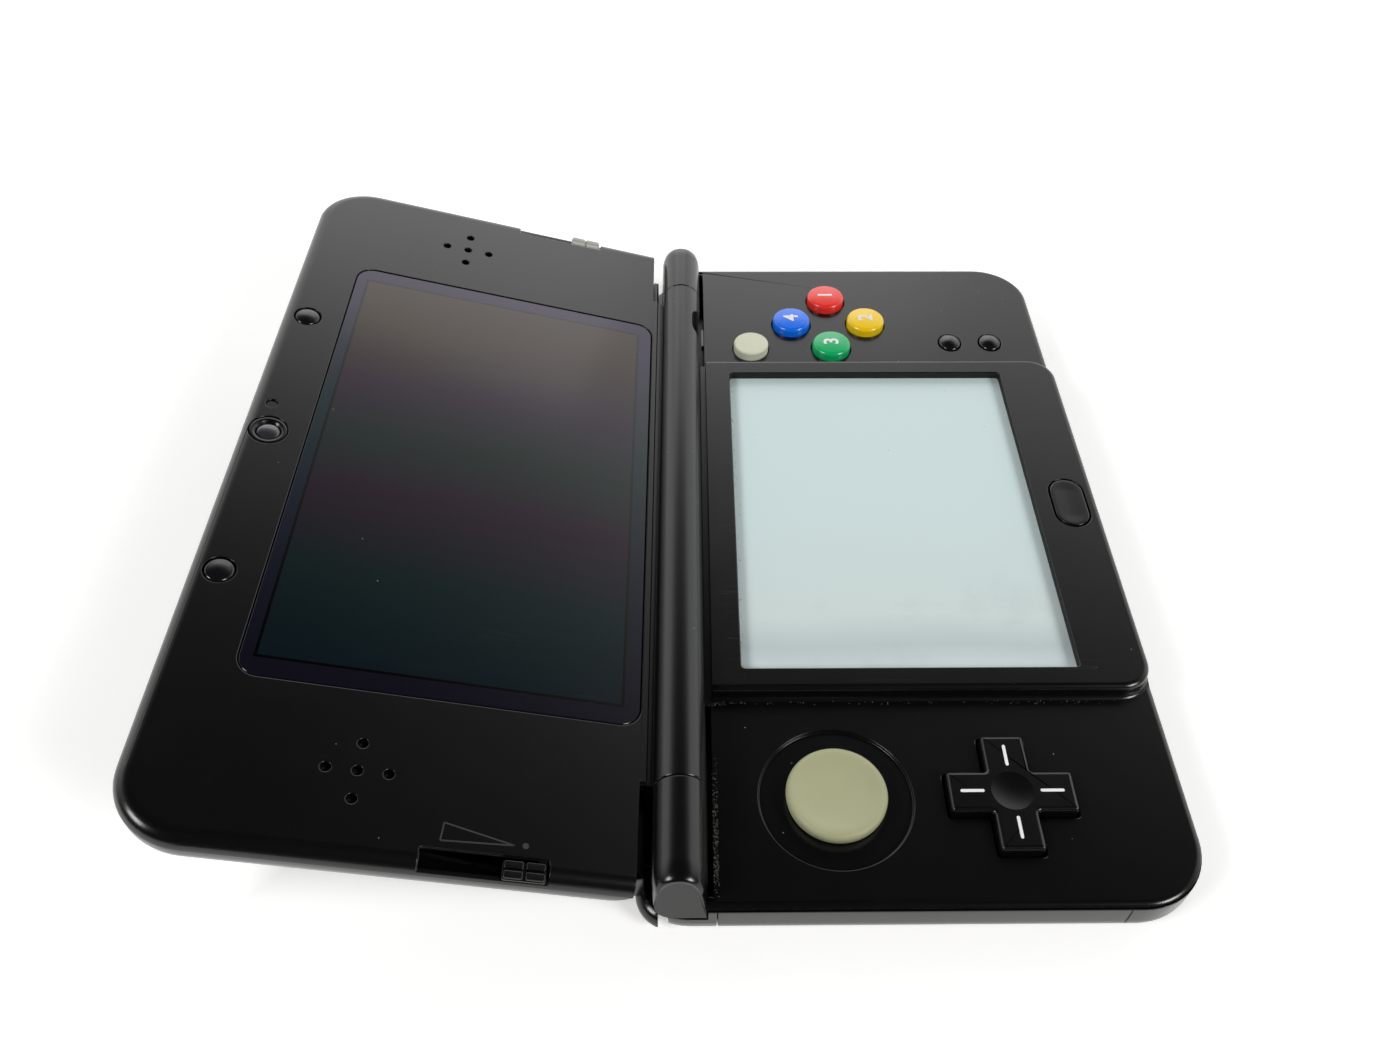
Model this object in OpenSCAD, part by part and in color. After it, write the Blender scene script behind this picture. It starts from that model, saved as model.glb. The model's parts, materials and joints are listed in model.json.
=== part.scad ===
// Clamshell handheld game console, shown open.
// Origin: centre of the base's underside. +X is the player's right, +Y runs from the front
// edge to the hinge, +Z is up. Millimetres.
// Lid pieces are drawn in the lid's own frame and set in place by lid_place():
// x along the hinge, y away from the hinge axis, z out of the screen face (z = 0).

/* [Body] */
// Width of the console
body_w = 142; // [138:0.5:150]
// Depth of the closed console, front edge to rear edge
body_d = 80.6; // [80:0.2:86]
// Plan radius of the outer corners
corner_r = 10; // [8:0.5:12]
// Height of the raised centre panel
panel_t = 11.2; // [11:0.1:12]
// Step from the centre panel down to the control areas
panel_step = 2.6; // [2.4:0.1:3]
// Width of the control area on each side of the centre panel
control_band = 33; // [32:0.5:34]
// Plan radius of the centre panel's front corners
panel_r = 5; // [3:0.5:7]
// Wall thickness of the moulded shells
wall = 1.4; // [1.2:0.1:1.6]
// Thickness of the detachable bottom cover
cover_t = 0.9; // [0.7:0.1:1.1]
// Gap between pieces that are fastened to each other
seam = 0.1; // [0.05:0.01:0.15]
// Radius of the rounded bottom edge
base_edge_r = 4.5; // [1:0.25:4.75]
// Radius of the rounded top edge of the control areas
deck_edge_r = 1.8; // [0.5:0.1:2]
// Distance from the front edge to the bottom cover
cover_front_inset = 11.8; // [10:0.2:14]
// Distance from the hinge axis to the bottom cover
cover_rear_inset = 5.1; // [5:0.1:8]

/* [Hinge] */
// Distance from the hinge axis to the rear edge
hinge_back = 8.6; // [8.4:0.1:9]
// Gap between the closed lid and the centre panel
lid_gap = 0.4; // [0.35:0.05:0.8]
// Radius of the hinge barrel
barrel_r = 3.75; // [3.5:0.05:3.9]
// Gap between the barrel and the trough under it
trough_gap = 0.45; // [0.35:0.05:0.6]
// Length of the left knuckle on the base
left_knuckle_w = 16.2; // [12:0.2:18]
// Length of the right knuckle on the base
right_knuckle_w = 14.4; // [12:0.2:18]
// Gap between a knuckle and the barrel
knuckle_gap = 0.2; // [0.15:0.05:0.4]
// How far each outer knuckle end stands back from the side of the body
knuckle_inset = 0.6; // [0.2:0.1:1.2]
// Radius of the rounding on the outer knuckle ends
knuckle_end_r = 2.6; // [1:0.1:3]
// Width of the slot in front of a knuckle, from the rear edge of the centre panel
slot_gap = 0.7; // [0.3:0.1:1]
// Radius of the hinge pins
pin_r = 1.6; // [1.4:0.05:1.8]
// Running clearance of a hinge pin in the barrel
pin_clearance = 0.05; // [0.03:0.01:0.08]
// Length of pin that runs in the barrel
pin_reach = 9; // [6:0.5:12]
// Angle from closed to fully open
open_angle = 165.3; // [150:0.1:168]
// Width of the scoop in the barrel that shows the notification light
scoop_w = 10; // [6:0.5:12]
// Distance of the scoop's middle from the right side
scoop_inset = 23; // [20:0.5:26]

/* [Lid] */
// Thickness of the lid
lid_t = 10; // [9.5:0.25:11]
// Thickness of the inner bezel's rim
bezel_t = 3; // [2.5:0.1:3.5]
// Distance from the hinge axis to the lid's near end beside the knuckles
lid_near = 5.7; // [5.5:0.1:6]
// Distance from the hinge axis to the bezel's lip over the neck
lip_near = 4.6; // [4.4:0.1:4.9]
// Run of the slanted hinge end of the outer cover
bevel_run = 8.3; // [8:0.1:10]
// How far each side of the lid stands back from the side of the base
lid_side_inset = 0.6; // [0:0.1:0.8]
// Radius of the lid's outer edge
lid_edge_r = 6.5; // [3:0.25:6.5]
// Radius of the lid's inner edge
lid_rim_r = 2.2; // [1:0.1:2.4]
// Far edge inset of the closed lid from the base's front edge
lid_far_inset = 0; // [0:0.1:1]

/* [Upper screen] */
// Distance from the side of the lid to the glossy window
window_side = 25.4; // [24:0.2:27]
// Distance from the hinge axis to the window's near edge
window_near = 5.9; // [5.8:0.1:7]
// Distance from the lid's far edge to the glossy window
window_far = 10.3; // [10:0.1:12]
// Plan radius of the window's corners
window_r = 3; // [1:0.5:5]
// Thickness of the window
window_t = 0.8; // [0.6:0.05:0.9]
// Border between the window's side and the picture
picture_side = 3.36; // [3:0.02:4]
// Border between the window's near or far edge and the picture
picture_border = 2.55; // [2.4:0.05:3]
// Thickness of the upper display module
upper_display_t = 2.2; // [1.8:0.1:2.6]

/* [Lower screen] */
// Distance from the side of the centre panel to the touch opening
touch_side = 3.85; // [3.6:0.05:4.5]
// Distance from the front of the centre panel to the touch opening
touch_front = 10.7; // [10:0.1:11.5]
// Distance from the rear of the centre panel to the touch opening
touch_rear = 5.1; // [4.5:0.1:6]
// Depth of the touch surface under the centre panel
touch_sink = 1.45; // [1.2:0.05:1.6]
// Thickness of the touch digitizer
digitizer_t = 1; // [0.8:0.1:1.1]
// Thickness of the lower display module
lower_display_t = 2; // [1.6:0.1:2.2]
// How far the digitizer reaches past the touch opening
digitizer_margin = 1.1; // [0.8:0.1:1.2]

/* [Controls] */
// Circle pad, from the rear edge of the centre panel
circle_inset = 17.9; // [17.5:0.1:19]
// Radius of the circle pad's cap
circle_r = 7.2; // [7:0.1:7.5]
// Radius of the dish round the circle pad
dish_r = 11; // [10.5:0.1:11.4]
// Depth of the dish
dish_depth = 0.6; // [0.4:0.05:0.8]
// Circle pad travel from the middle
circle_travel = 2; // [1.6:0.1:2]
// Height of the circle pad over the control area
circle_proud = 1.7; // [1.2:0.1:1.9]
// Distance from the circle pad to the direction pad
pad_pitch = 24.7; // [24:0.1:25]
// Span of the direction pad
dpad_span = 17.9; // [16:0.1:18.5]
// Width of a direction pad arm
dpad_arm = 6.2; // [5:0.1:6.6]
// Height of the direction pad over the control area
dpad_proud = 1.6; // [1:0.1:1.8]
// Gap round the direction pad
dpad_gap = 0.35; // [0.3:0.05:0.45]
// Middle of the four face buttons, from the right side
face_inset = 18.9; // [18:0.1:20]
// Middle of the four face buttons, from the rear edge of the centre panel
face_rear = 25.65; // [25:0.05:26]
// Distance of each face button from their middle
face_pitch = 7.5; // [7.2:0.1:8]
// Radius of a face button
face_r = 3.75; // [3.4:0.05:3.9]
// Height of a face button over the control area
face_proud = 1.9; // [1.4:0.1:2.1]
// Travel of a face button
face_travel = 0.9; // [0.5:0.1:1]
// Gap round a round button
button_gap = 0.15; // [0.12:0.01:0.2]
// Nub, from the right side
nub_inset = 26.5; // [26:0.1:27]
// Nub, from the rear edge of the centre panel
nub_rear = 9.7; // [9:0.1:10]
// Radius of the nub
nub_r = 3.4; // [3:0.1:3.6]
// Height of the nub over the control area
nub_proud = 1.6; // [1.2:0.1:2]
// Select and start buttons, from the right side
menu_inset = 24.8; // [24:0.1:26]
// Start button, from the front edge
start_inset = 10.3; // [9.5:0.1:11]
// Distance between the start and select buttons
menu_pitch = 8; // [7.5:0.1:8.5]
// Radius of the select and start buttons
menu_r = 2.1; // [1.8:0.1:2.3]
// Height of the select and start buttons over the control area
menu_proud = 0.7; // [0.4:0.1:1]
// Travel of the select, start and home buttons
menu_travel = 0.4; // [0.3:0.05:0.5]
// Length of the home button
home_w = 10.8; // [10:0.1:12]
// Width of the home button
home_d = 6; // [5:0.1:6.4]
// Home button, from the front edge
home_inset = 5.2; // [5:0.1:5.6]
// Length of a shoulder button along the rear edge
shoulder_w = 24.8; // [22:0.2:26]
// Travel of a rear trigger
trigger_travel = 0.7; // [0.4:0.1:0.8]
// Width of a rear trigger
trigger_w = 11.2; // [9:0.2:12]

/* [Front edge] */
// Middle of the game card slot, from the left side
card_inset = 44; // [43.5:0.1:45]
// Width of the game card slot's mouth
card_w = 33.4; // [32:0.2:34]
// Height of the game card slot's mouth
card_h = 4.4; // [4.3:0.05:4.5]
// Length of the game card slot
card_l = 34.2; // [30:0.1:36]
// Stylus, from the side of the game card slot
stylus_inset = 5.7; // [5.5:0.1:6]
// Radius of the stylus
stylus_r = 2.1; // [1.9:0.05:2.2]
// Length of the stylus
stylus_l = 64; // [58:0.5:65]
// Distance from the stylus to the headphone jack
jack_pitch = 11.6; // [11:0.1:13]
// Radius of the headphone jack's bore
jack_r = 1.8; // [1.76:0.01:1.85]
// Length of the headphone jack
jack_l = 10.5; // [8:0.25:11]
// Power button, from the right side
power_inset = 41; // [38:0.5:42]
// Length of the power button
power_w = 7; // [5:0.2:8]
// Travel of the power button
power_travel = 0.5; // [0.3:0.05:0.6]
// Status lights, from the right side
lights_inset = 27; // [25:0.5:28]
// Microphone, from the status lights
microphone_pitch = 5; // [4.5:0.1:5.5]

/* [Lid details] */
// Speakers, from the side of the lid
speaker_side = 13.1; // [12:0.1:14]
// Speakers, from the lid's far edge
speaker_far = 28.8; // [28:0.1:30]
// Width of a speaker
speaker_w = 13; // [11:0.5:14]
// Length of a speaker
speaker_l = 16; // [12:0.5:18]
// Thickness of a speaker
speaker_t = 3; // [2:0.1:4]
// Distance between speaker holes
speaker_pitch = 4.05; // [3.8:0.05:4.5]
// Radius of a speaker hole
speaker_hole_r = 0.75; // [0.5:0.05:0.9]
// Row of camera and bumpers, from the lid's far edge
camera_far = 4.3; // [4.2:0.1:5]
// Radius of the inner camera's ring
camera_r = 2.9; // [2.6:0.1:3]
// Tracking light, from the camera
tracking_x = 6; // [5.5:0.1:8]
// Bumpers, from the middle
bumper_x = 29; // [26:0.5:32]
// Radius of a bumper
bumper_r = 2.1; // [1.8:0.1:2.4]
// Height of a bumper over the lid's inner face
bumper_proud = 0.28; // [0.1:0.02:0.32]
// Distance between the two outer cameras
stereo_x = 35; // [30:0.5:40]
// Distance from the row of the inner camera to the outer cameras
stereo_offset = 4; // [3.5:0.1:6]
// Radius of an outer camera
stereo_r = 3; // [2.5:0.1:3.2]
// Length of an outer camera
stereo_l = 4.5; // [3:0.1:5]
// Middle of a slider knob in its off position, from the hinge axis
knob_v = 20.3; // [20:0.1:21]
// Travel of a slider knob
knob_travel = 10; // [8:0.5:11]
// Length of a slider knob
knob_l = 5.7; // [5:0.1:6]
// Width of a slider knob
knob_w = 2.7; // [2.2:0.1:2.8]
// Depth of the step that a slider knob runs in
knob_step = 1; // [0.8:0.05:1.2]

/* [Hidden] */

$fn = 48;
over = 1;                                       // how far a cut runs past what it cuts

shell_black = "#17181a";
satin_black = "#1d1e20";
metal_grey = "#9a9c9e";
board_green = "#1f5a3a";
rubber_grey = "#4a4b4d";

half_w = body_w / 2;
half_d = body_d / 2;
panel_w = body_w - 2 * control_band;
side_z = panel_t - panel_step;                  // top of the control areas
deck_z = side_z - wall;                         // underside of the control areas
split_z = deck_z - 0.4;                         // seam between the two base shells
floor_z = cover_t + seam;                       // underside of the lower shell's floor
floor_t = 1;
floor_top = floor_z + floor_t;
tray_inset = wall + cover_t;                    // the lower shell's wall backs the cover
tray_edge_r = 1.2;                              // rounding where that wall meets the floor
hinge_y = half_d - hinge_back;
hinge_z = panel_t + lid_gap;
trough_r = barrel_r + trough_gap;
trough_t = 1.1;
rest_tilt = 180 - open_angle;                   // the open lid's tilt over the horizontal
panel_rear_y = hinge_y - trough_r;
panel_front_y = -half_d + 0.4;
cover_front_y = -half_d + cover_front_inset;
cover_rear_y = hinge_y - cover_rear_inset;
left_seam_x = -half_w + left_knuckle_w;
right_seam_x = half_w - right_knuckle_w;
knuckle_end_x = half_w - knuckle_inset;
slot_front_y = panel_rear_y - slot_gap;         // the deck ends here in front of the knuckles
slot_floor_z = hinge_z - trough_r + 0.3;
scoop_x = half_w - scoop_inset;
bore_r = pin_r + pin_clearance;

lid_far = half_d + hinge_y - lid_far_inset;     // from the hinge axis to the lid's far edge
lid_half_w = half_w - lid_side_inset;
lid_w = 2 * lid_half_w;
neck_top = -0.7;
neck_t = 1.9;
bezel_plate_t = 1.4;
lid_cover_t = lid_t - bezel_t;
window_sink = 0.05;
window_back = -window_sink - window_t;
window_w = body_w - 2 * window_side;
window_d = lid_far - window_far - window_near;
picture_w = window_w - 2 * picture_side;
picture_d = window_d - 2 * picture_border;
picture_v = window_near + window_d / 2;         // middle of the picture, from the hinge axis
camera_v = lid_far - camera_far;
speaker_x = half_w - speaker_side;
speaker_v = lid_far - speaker_far;
display_margin = 1.6;
display_back = -bezel_plate_t - upper_display_t;

control_x = -(panel_w / 2 + (half_w - panel_w / 2) / 2);
circle_y = panel_rear_y - circle_inset;
dpad_y = circle_y - pad_pitch;
face_x = half_w - face_inset;
face_y = panel_rear_y - face_rear;
nub_x = half_w - nub_inset;
nub_y = panel_rear_y - nub_rear;
menu_x = half_w - menu_inset;
start_y = -half_d + start_inset;
select_y = start_y + menu_pitch;
home_y = -half_d + home_inset;
card_x = -half_w + card_inset;
stylus_x = card_x + card_w / 2 + stylus_inset;
jack_x = stylus_x + jack_pitch;
power_x = half_w - power_inset;
lights_x = half_w - lights_inset;
touch_w = panel_w - 2 * touch_side;
touch_d = panel_rear_y - panel_front_y - touch_front - touch_rear;
touch_y = panel_front_y + touch_front + touch_d / 2;
touch_z = panel_t - touch_sink;
lip_t = touch_sink - seam;                      // the bezel's lip over the digitizer
pocket_margin = digitizer_margin + 0.3;
display_z = touch_z - digitizer_t;
flange_t = 0.7;
flange_z = deck_z - 0.2 - flange_t;
flange_margin = 0.65;
membrane_z = 3.4;
board_t = 0.8;
board_z = membrane_z - board_t;
left_board_z = floor_top + 0.2;
membrane_top = flange_z - face_travel - 0.2;
card_z = floor_top + 0.1;
card_wall = 0.15;
jack_wall = 0.5;
jack_z = floor_top + jack_wall + jack_r;
stylus_gap = 0.3;
stylus_z = floor_top + stylus_gap + stylus_r;
power_h = 2.8;
power_z = 4.2;

housing_half = 10.5;
housing_z = left_board_z + board_t;
housing_floor = 0.8;
housing_top_z = deck_z - seam;
carriage_z = housing_z + housing_floor + 0.15;
carriage_t = 1;
carriage_half_x = housing_half - wall / 2 - circle_travel - 0.2 - 0.5;
carriage_half_y = housing_half - wall / 2 - 0.4;
foot_half_x = 2.4;
foot_half_y = 3.2;
stem_r = 1.3;
stem_hole_r = circle_travel * sqrt(2) + stem_r + 0.15;
cap_z = side_z - dish_depth + 0.12;

dpad_flange_t = 0.6;
dpad_flange_z = deck_z - 0.75 - dpad_flange_t;
dome_r = 1.6;                                   // the direction pad rocks on a ball-topped dome
dome_z = dpad_flange_z - 0.05 - dome_r;

shoulder_cut_y = hinge_y + barrel_r + 0.1;      // front wall of the shoulder button's bay
shoulder_front_y = shoulder_cut_y + 0.85;
shoulder_bay_z = floor_top + 0.8;
shoulder_gap = 0.25;
shoulder_end_x = half_w - shoulder_w;           // inner end of a shoulder button
shoulder_pivot_r = 0.8;
shoulder_pivot_x = shoulder_end_x + 1.5;
shoulder_pivot_y = half_d - 2.1;
trigger_outer_x = shoulder_end_x - shoulder_gap - 0.8;
trigger_z = shoulder_bay_z + 0.35;
trigger_h = 3.9;
trigger_gap = 0.25;
port_w = 9.8;
port_h = 3.8;
port_z = floor_top + 0.3;
ir_w = 12;
ir_x = port_w / 2 + 9.1 + ir_w / 2;             // middle of the infrared window

// ---------- plan outlines and edge profiles ----------

function arc(cx, cy, r, from, to, steps = 6) =
    [for (i = [0:steps]) let (a = from + (to - from) * i / steps)
        [cx + r * cos(a), cy + r * sin(a)]];

function plan(w, d, r) = concat(
    arc(w / 2 - r, d / 2 - r, r, 0, 90),
    arc(-w / 2 + r, d / 2 - r, r, 90, 180),
    arc(-w / 2 + r, -d / 2 + r, r, 180, 270),
    arc(w / 2 - r, -d / 2 + r, r, 270, 360));

function edge_profile(reach, h, bottom_r, top_r) = concat(
    [[0, 0]],
    bottom_r > 0 ? arc(reach - bottom_r, bottom_r, bottom_r, -90, 0, 4) : [[reach, 0]],
    top_r > 0 ? arc(reach - top_r, h - top_r, top_r, 0, 90, 4) : [[reach, h]],
    [[0, h]]);

// A flat body with a rounded plan and rounded bottom and top edges.
module slab(w, d, h, r, bottom_r, top_r) {
    profile = edge_profile(r, h, bottom_r, top_r);
    straight_x = w - 2 * r;
    straight_y = d - 2 * r;
    translate([-straight_x / 2, -straight_y / 2, 0]) cube([straight_x, straight_y, h]);
    for (side = [0, 1]) {
        rotate([0, 0, 180 * side]) translate([straight_x / 2, straight_y / 2, 0])
            rotate([90, 0, 0]) linear_extrude(straight_y) polygon(profile);
        rotate([0, 0, 180 * side + 90]) translate([straight_y / 2, straight_x / 2, 0])
            rotate([90, 0, 0]) linear_extrude(straight_x) polygon(profile);
        rotate([0, 0, 180 * side]) {
            translate([straight_x / 2, straight_y / 2, 0])
                rotate_extrude(angle = 90) polygon(profile);
            translate([-straight_x / 2, straight_y / 2, 0])
                rotate([0, 0, 90]) rotate_extrude(angle = 90) polygon(profile);
        }
    }
}

module plate(w, d, h, r) {
    linear_extrude(h) polygon(plan(w, d, r));
}

// A box given by its lowest and highest corners.
module block(low, high) {
    translate(low) cube(high - low);
}

// A long round with half-circle ends along x.
module stadium(l, w, h) {
    linear_extrude(h) polygon(plan(l, w, w / 2 - 0.001));
}

// A round cap with a rounded top edge.
module button_cap(r, h, edge_r) {
    rotate_extrude() polygon(edge_profile(r, h, 0, edge_r));
}

// A cylinder along x from x0 to x1.
module rod_x(r, x0, x1) {
    translate([x0, 0, 0]) rotate([0, 90, 0]) cylinder(r = r, h = x1 - x0);
}

// A cylinder along y from y0 to y1.
module rod_y(r, y0, y1) {
    translate([0, y0, 0]) rotate([-90, 0, 0]) cylinder(r = r, h = y1 - y0);
}

module cross(span, arm, h) {
    half = span / 2;
    side = arm / 2;
    linear_extrude(h) polygon([[side, side], [side, half], [-side, half], [-side, side],
        [-half, side], [-half, -side], [-side, -side], [-side, -half], [side, -half],
        [side, -side], [half, -side], [half, side]]);
}

// ---------- base shells ----------

// Places of the screws that hold the two base shells together.
base_screw_spots = [
    for (x = [-half_w + 5.8, half_w - 5.8], y = [-half_d + 7.5, hinge_y - trough_r - 4.2])
        [x, y]];

module cover_screw_spots() {
    for (side = [-1, 1]) translate([side * (half_w - 9), cover_rear_y - 3.6, 0]) children();
}

module left_and_right() {
    children();
    mirror([1, 0, 0]) children();
}

module shoulder_bay() {
    left_and_right() block([shoulder_end_x - shoulder_gap, shoulder_cut_y, shoulder_bay_z],
        [half_w + over, half_d + over, side_z + over]);
}

module trigger_bay() {
    left_and_right() block([trigger_outer_x - trigger_w - 2 * trigger_gap, shoulder_cut_y,
        trigger_z - trigger_gap],
        [trigger_outer_x, half_d + over, trigger_z + trigger_h + trigger_gap]);
}

module base_lower_shell() {
    color(satin_black) difference() {
        union() {
            difference() {
                slab(body_w, body_d, split_z - seam, corner_r, base_edge_r, 0);
                translate([0, 0, floor_top]) slab(body_w - 2 * tray_inset,
                    body_d - 2 * tray_inset, split_z, corner_r - tray_inset, tray_edge_r, 0);
            }
            for (spot = base_screw_spots) translate([spot[0], spot[1], floor_z])
                cylinder(r = 2.6, h = split_z - seam - floor_z);
            cover_screw_spots() translate([0, 0, floor_z]) cylinder(r = 1.8, h = cover_screw_l);
            left_and_right() translate([shoulder_end_x - 1, shoulder_cut_y - 1.2, floor_z])
                cube([half_w - shoulder_end_x - 2.7, 1.2, shoulder_bay_z - floor_z]);
        }
        // bottom cover's seat
        translate([0, cover_rear_y + seam, 0]) rotate([90, 0, 0])
            linear_extrude(cover_rear_y - cover_front_y + 2 * seam)
                polygon(concat(cover_inside(seam), mirrored(cover_inside(seam)),
                    [[-half_w - over, split_z + over], [-half_w - over, -over],
                    [half_w + over, -over], [half_w + over, split_z + over]]));
        // battery and memory card bays
        block([battery_low[0] - seam, battery_low[1] - seam, 0],
            [battery_high[0] + seam, battery_high[1] + seam, floor_top + over]);
        block([card_bay_low[0] - seam, card_bay_low[1] - seam, 0],
            [card_bay_high[0] + seam, card_bay_high[1] + seam, floor_top + over]);
        for (spot = base_screw_spots) translate([spot[0], spot[1], 0]) {
            cylinder(r = 2, h = floor_z + 0.7);
            cylinder(r = 0.9, h = split_z + over);
        }
        cover_screw_spots() cylinder(r = 0.75, h = floor_z + cover_screw_l + over);
        shoulder_bay();
        trigger_bay();
        // front edge
        block([card_x - card_w / 2, -half_d - over, card_z],
            [card_x + card_w / 2, -half_d + tray_inset + over, card_z + card_h]);
        block([card_x - card_w / 2 - 0.5, -half_d + tray_inset, floor_top],
            [card_x + card_w / 2 + 0.5, -half_d + tray_inset + tray_edge_r, split_z + over]);
        block([power_x - power_w / 2 - 1, -half_d + tray_inset, floor_top],
            [power_x + power_w / 2 + 1, -half_d + tray_inset + tray_edge_r, split_z + over]);
        translate([stylus_x, 0, stylus_z])
            rod_y(stylus_r + stylus_gap / 2, -half_d - over, -half_d + tray_inset + over);
        translate([jack_x, 0, jack_z]) rod_y(2.6, -half_d - over, -half_d + tray_inset + 1.3);
        translate([power_x, -half_d + tray_inset + over, power_z]) rotate([90, 0, 0])
            translate([0, 0, -over]) stadium(power_w + 0.4, power_h + 0.4, tray_inset + 3 * over);
        for (i = [0, 1]) block([lights_x + 4 * i - 1.1, -half_d - over, power_z - 0.6],
            [lights_x + 4 * i + 1.1, -half_d + tray_inset + over, power_z + 0.6]);
        // rear edge
        block([-port_w / 2 - seam, half_d - tray_inset - over, port_z - seam],
            [port_w / 2 + seam, half_d + over, port_z + port_h + seam]);
        block([ir_x - ir_w / 2 - seam, half_d - tray_inset - over, port_z - seam],
            [ir_x + ir_w / 2 + seam, half_d + over, port_z + port_h + seam]);
    }
    color(satin_black) left_and_right()
        translate([shoulder_pivot_x, shoulder_pivot_y, floor_z + 1])
            cylinder(r = shoulder_pivot_r, h = side_z - 1.2 - floor_z - 1);
}

module trough_cut() {
    translate([0, hinge_y, hinge_z]) rod_x(trough_r, -half_w - over, half_w + over);
    block([-half_w - over, hinge_y - trough_r, hinge_z],
        [half_w + over, hinge_y + trough_r, hinge_z + trough_r + over]);
}

// One base knuckle, from its inner end at x0 to its rounded outer end.
module knuckle(x0) {
    length = knuckle_end_x - x0;
    translate([x0, hinge_y, hinge_z]) rotate([0, 90, 0])
        rotate_extrude() polygon(edge_profile(barrel_r, length, 0, knuckle_end_r));
    block([x0, hinge_y - barrel_r, split_z],
        [knuckle_end_x - 0.3, hinge_y + barrel_r, hinge_z - 1]);
}

module face_spots() {
    for (i = [0:3]) translate([face_x, face_y, 0]) rotate([0, 0, 90 * i])
        translate([face_pitch, 0, 0]) children();
}

module base_upper_shell() {
    color(satin_black) difference() {
        union() {
            difference() {
                union() {
                    translate([0, 0, split_z])
                        slab(body_w, body_d, side_z - split_z, corner_r, 0, deck_edge_r);
                    // square front edge under the centre panel
                    block([-panel_w / 2, -half_d + 0.4, split_z], [panel_w / 2, -half_d + 4, side_z]);
                }
                translate([0, 0, split_z - over]) plate(body_w - 2 * tray_inset,
                    body_d - 2 * tray_inset, deck_z - split_z + over, corner_r - tray_inset);
            }
            // trough wall
            intersection() {
                translate([0, hinge_y, hinge_z])
                    rod_x(trough_r + trough_t, -half_w + tray_inset + trough_t,
                        half_w - tray_inset - trough_t);
                block([-half_w, hinge_y - trough_r - trough_t, 0],
                    [half_w, hinge_y + trough_r + trough_t, side_z - 0.2]);
            }
        }
        trough_cut();
        // open slots in front of the knuckles
        left_and_right() block([panel_w / 2 + 1.2, slot_front_y, slot_floor_z],
            [half_w + over, hinge_y, side_z + over]);
        shoulder_bay();
        trigger_bay();
        // screen opening
        translate([0, touch_y, split_z - over]) plate(touch_w + 2 * pocket_margin + 0.8,
            touch_d + 2 * pocket_margin + 0.8, side_z, 1);
        // circle pad
        translate([control_x, circle_y, side_z - dish_depth]) cylinder(r = dish_r, h = over + 1);
        translate([control_x, circle_y, 0]) cylinder(r = stem_hole_r, h = side_z);
        // direction pad
        translate([control_x, dpad_y, split_z - over])
            cross(dpad_span + 2 * dpad_gap, dpad_arm + 2 * dpad_gap, wall + 3);
        // buttons and nub
        face_spots() cylinder(r = face_r + button_gap, h = side_z + over);
        translate([nub_x, nub_y, 0]) cylinder(r = nub_r + button_gap, h = side_z + over);
        for (y = [select_y, start_y]) translate([menu_x, y, 0])
            cylinder(r = menu_r + button_gap, h = side_z + over);
        for (spot = base_screw_spots) translate([spot[0], spot[1], 0])
            cylinder(r = 0.85, h = side_z - 0.5);
        // notification light
        block([scoop_x - 2.6, hinge_y - trough_r - 1.1, side_z - 1.5],
            [scoop_x + 2.6, hinge_y, side_z + over]);
    }
    color(satin_black) difference() {
        union() {
            knuckle(right_seam_x);
            mirror([1, 0, 0]) knuckle(-left_seam_x);
        }
        translate([0, hinge_y, hinge_z]) {
            rod_x(pin_r, left_seam_x - pin_reach, left_seam_x + over);
            rod_x(click_r, right_seam_x - over, right_seam_x + click_l);
        }
        shoulder_bay();
    }
}

module touch_bezel() {
    color(satin_black) difference() {
        front_to_back = 2 * (panel_rear_y - panel_front_y);
        translate([0, panel_front_y + front_to_back / 2, side_z])
            slab(panel_w, front_to_back, panel_step, panel_r, 0, 1);
        block([-panel_w, panel_rear_y, 0], [panel_w, 3 * body_d, panel_t + over]);
        trough_cut();
        translate([0, touch_y, side_z]) plate(touch_w, touch_d, panel_step + over, 0.6);
        translate([0, touch_y, side_z - over]) plate(touch_w + 2 * pocket_margin,
            touch_d + 2 * pocket_margin, panel_step - lip_t + over, 1);
        translate([0, home_y, side_z]) stadium(home_w + 0.3, home_d + 0.3, panel_step + over);
        translate([0, home_y, side_z - over])
            stadium(home_w + 2.1, home_d + 1.9, 1.4 + over);
    }
}

// The bottom cover's inner face on the right side, from the top of its flange to its floor.
function cover_inside(gap) =
    let (inset = cover_t + gap, r = max(0.05, base_edge_r - inset))
    concat([[half_w - inset, split_z + (gap > 0 ? over : -seam)]],
        arc(half_w - inset - r, inset + r, r, 0, -90, 4));

function mirrored(points) = [for (i = [len(points) - 1:-1:0]) [-points[i][0], points[i][1]]];

module bottom_cover_plate() {
    length = cover_rear_y - cover_front_y;
    section = concat(
        arc(half_w - base_edge_r, base_edge_r, base_edge_r, -90, 0, 4),
        [[half_w, split_z - seam]],
        cover_inside(0));
    color(shell_black) difference() {
        translate([0, cover_rear_y, 0]) rotate([90, 0, 0]) linear_extrude(length)
            polygon(concat(section, mirrored(section)));
        cover_screw_spots() {
            cylinder(r = 1.6, h = 0.5);
            cylinder(r = 0.8, h = cover_t + over);
        }
    }
}

module cover_screws() {
    color(metal_grey) cover_screw_spots() {
        translate([0, 0, 0.05]) cylinder(r = 1.5, h = 0.45);
        translate([0, 0, 0.5]) cylinder(r = 0.7, h = cover_screw_l);
    }
}

module base_screws() {
    color(metal_grey) for (spot = base_screw_spots) translate([spot[0], spot[1], floor_z + 0.1]) {
        cylinder(r = 1.8, h = 0.6);
        cylinder(r = 0.8, h = side_z - 0.7 - floor_z - 0.1);
    }
}

// ---------- inside the base ----------

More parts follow.
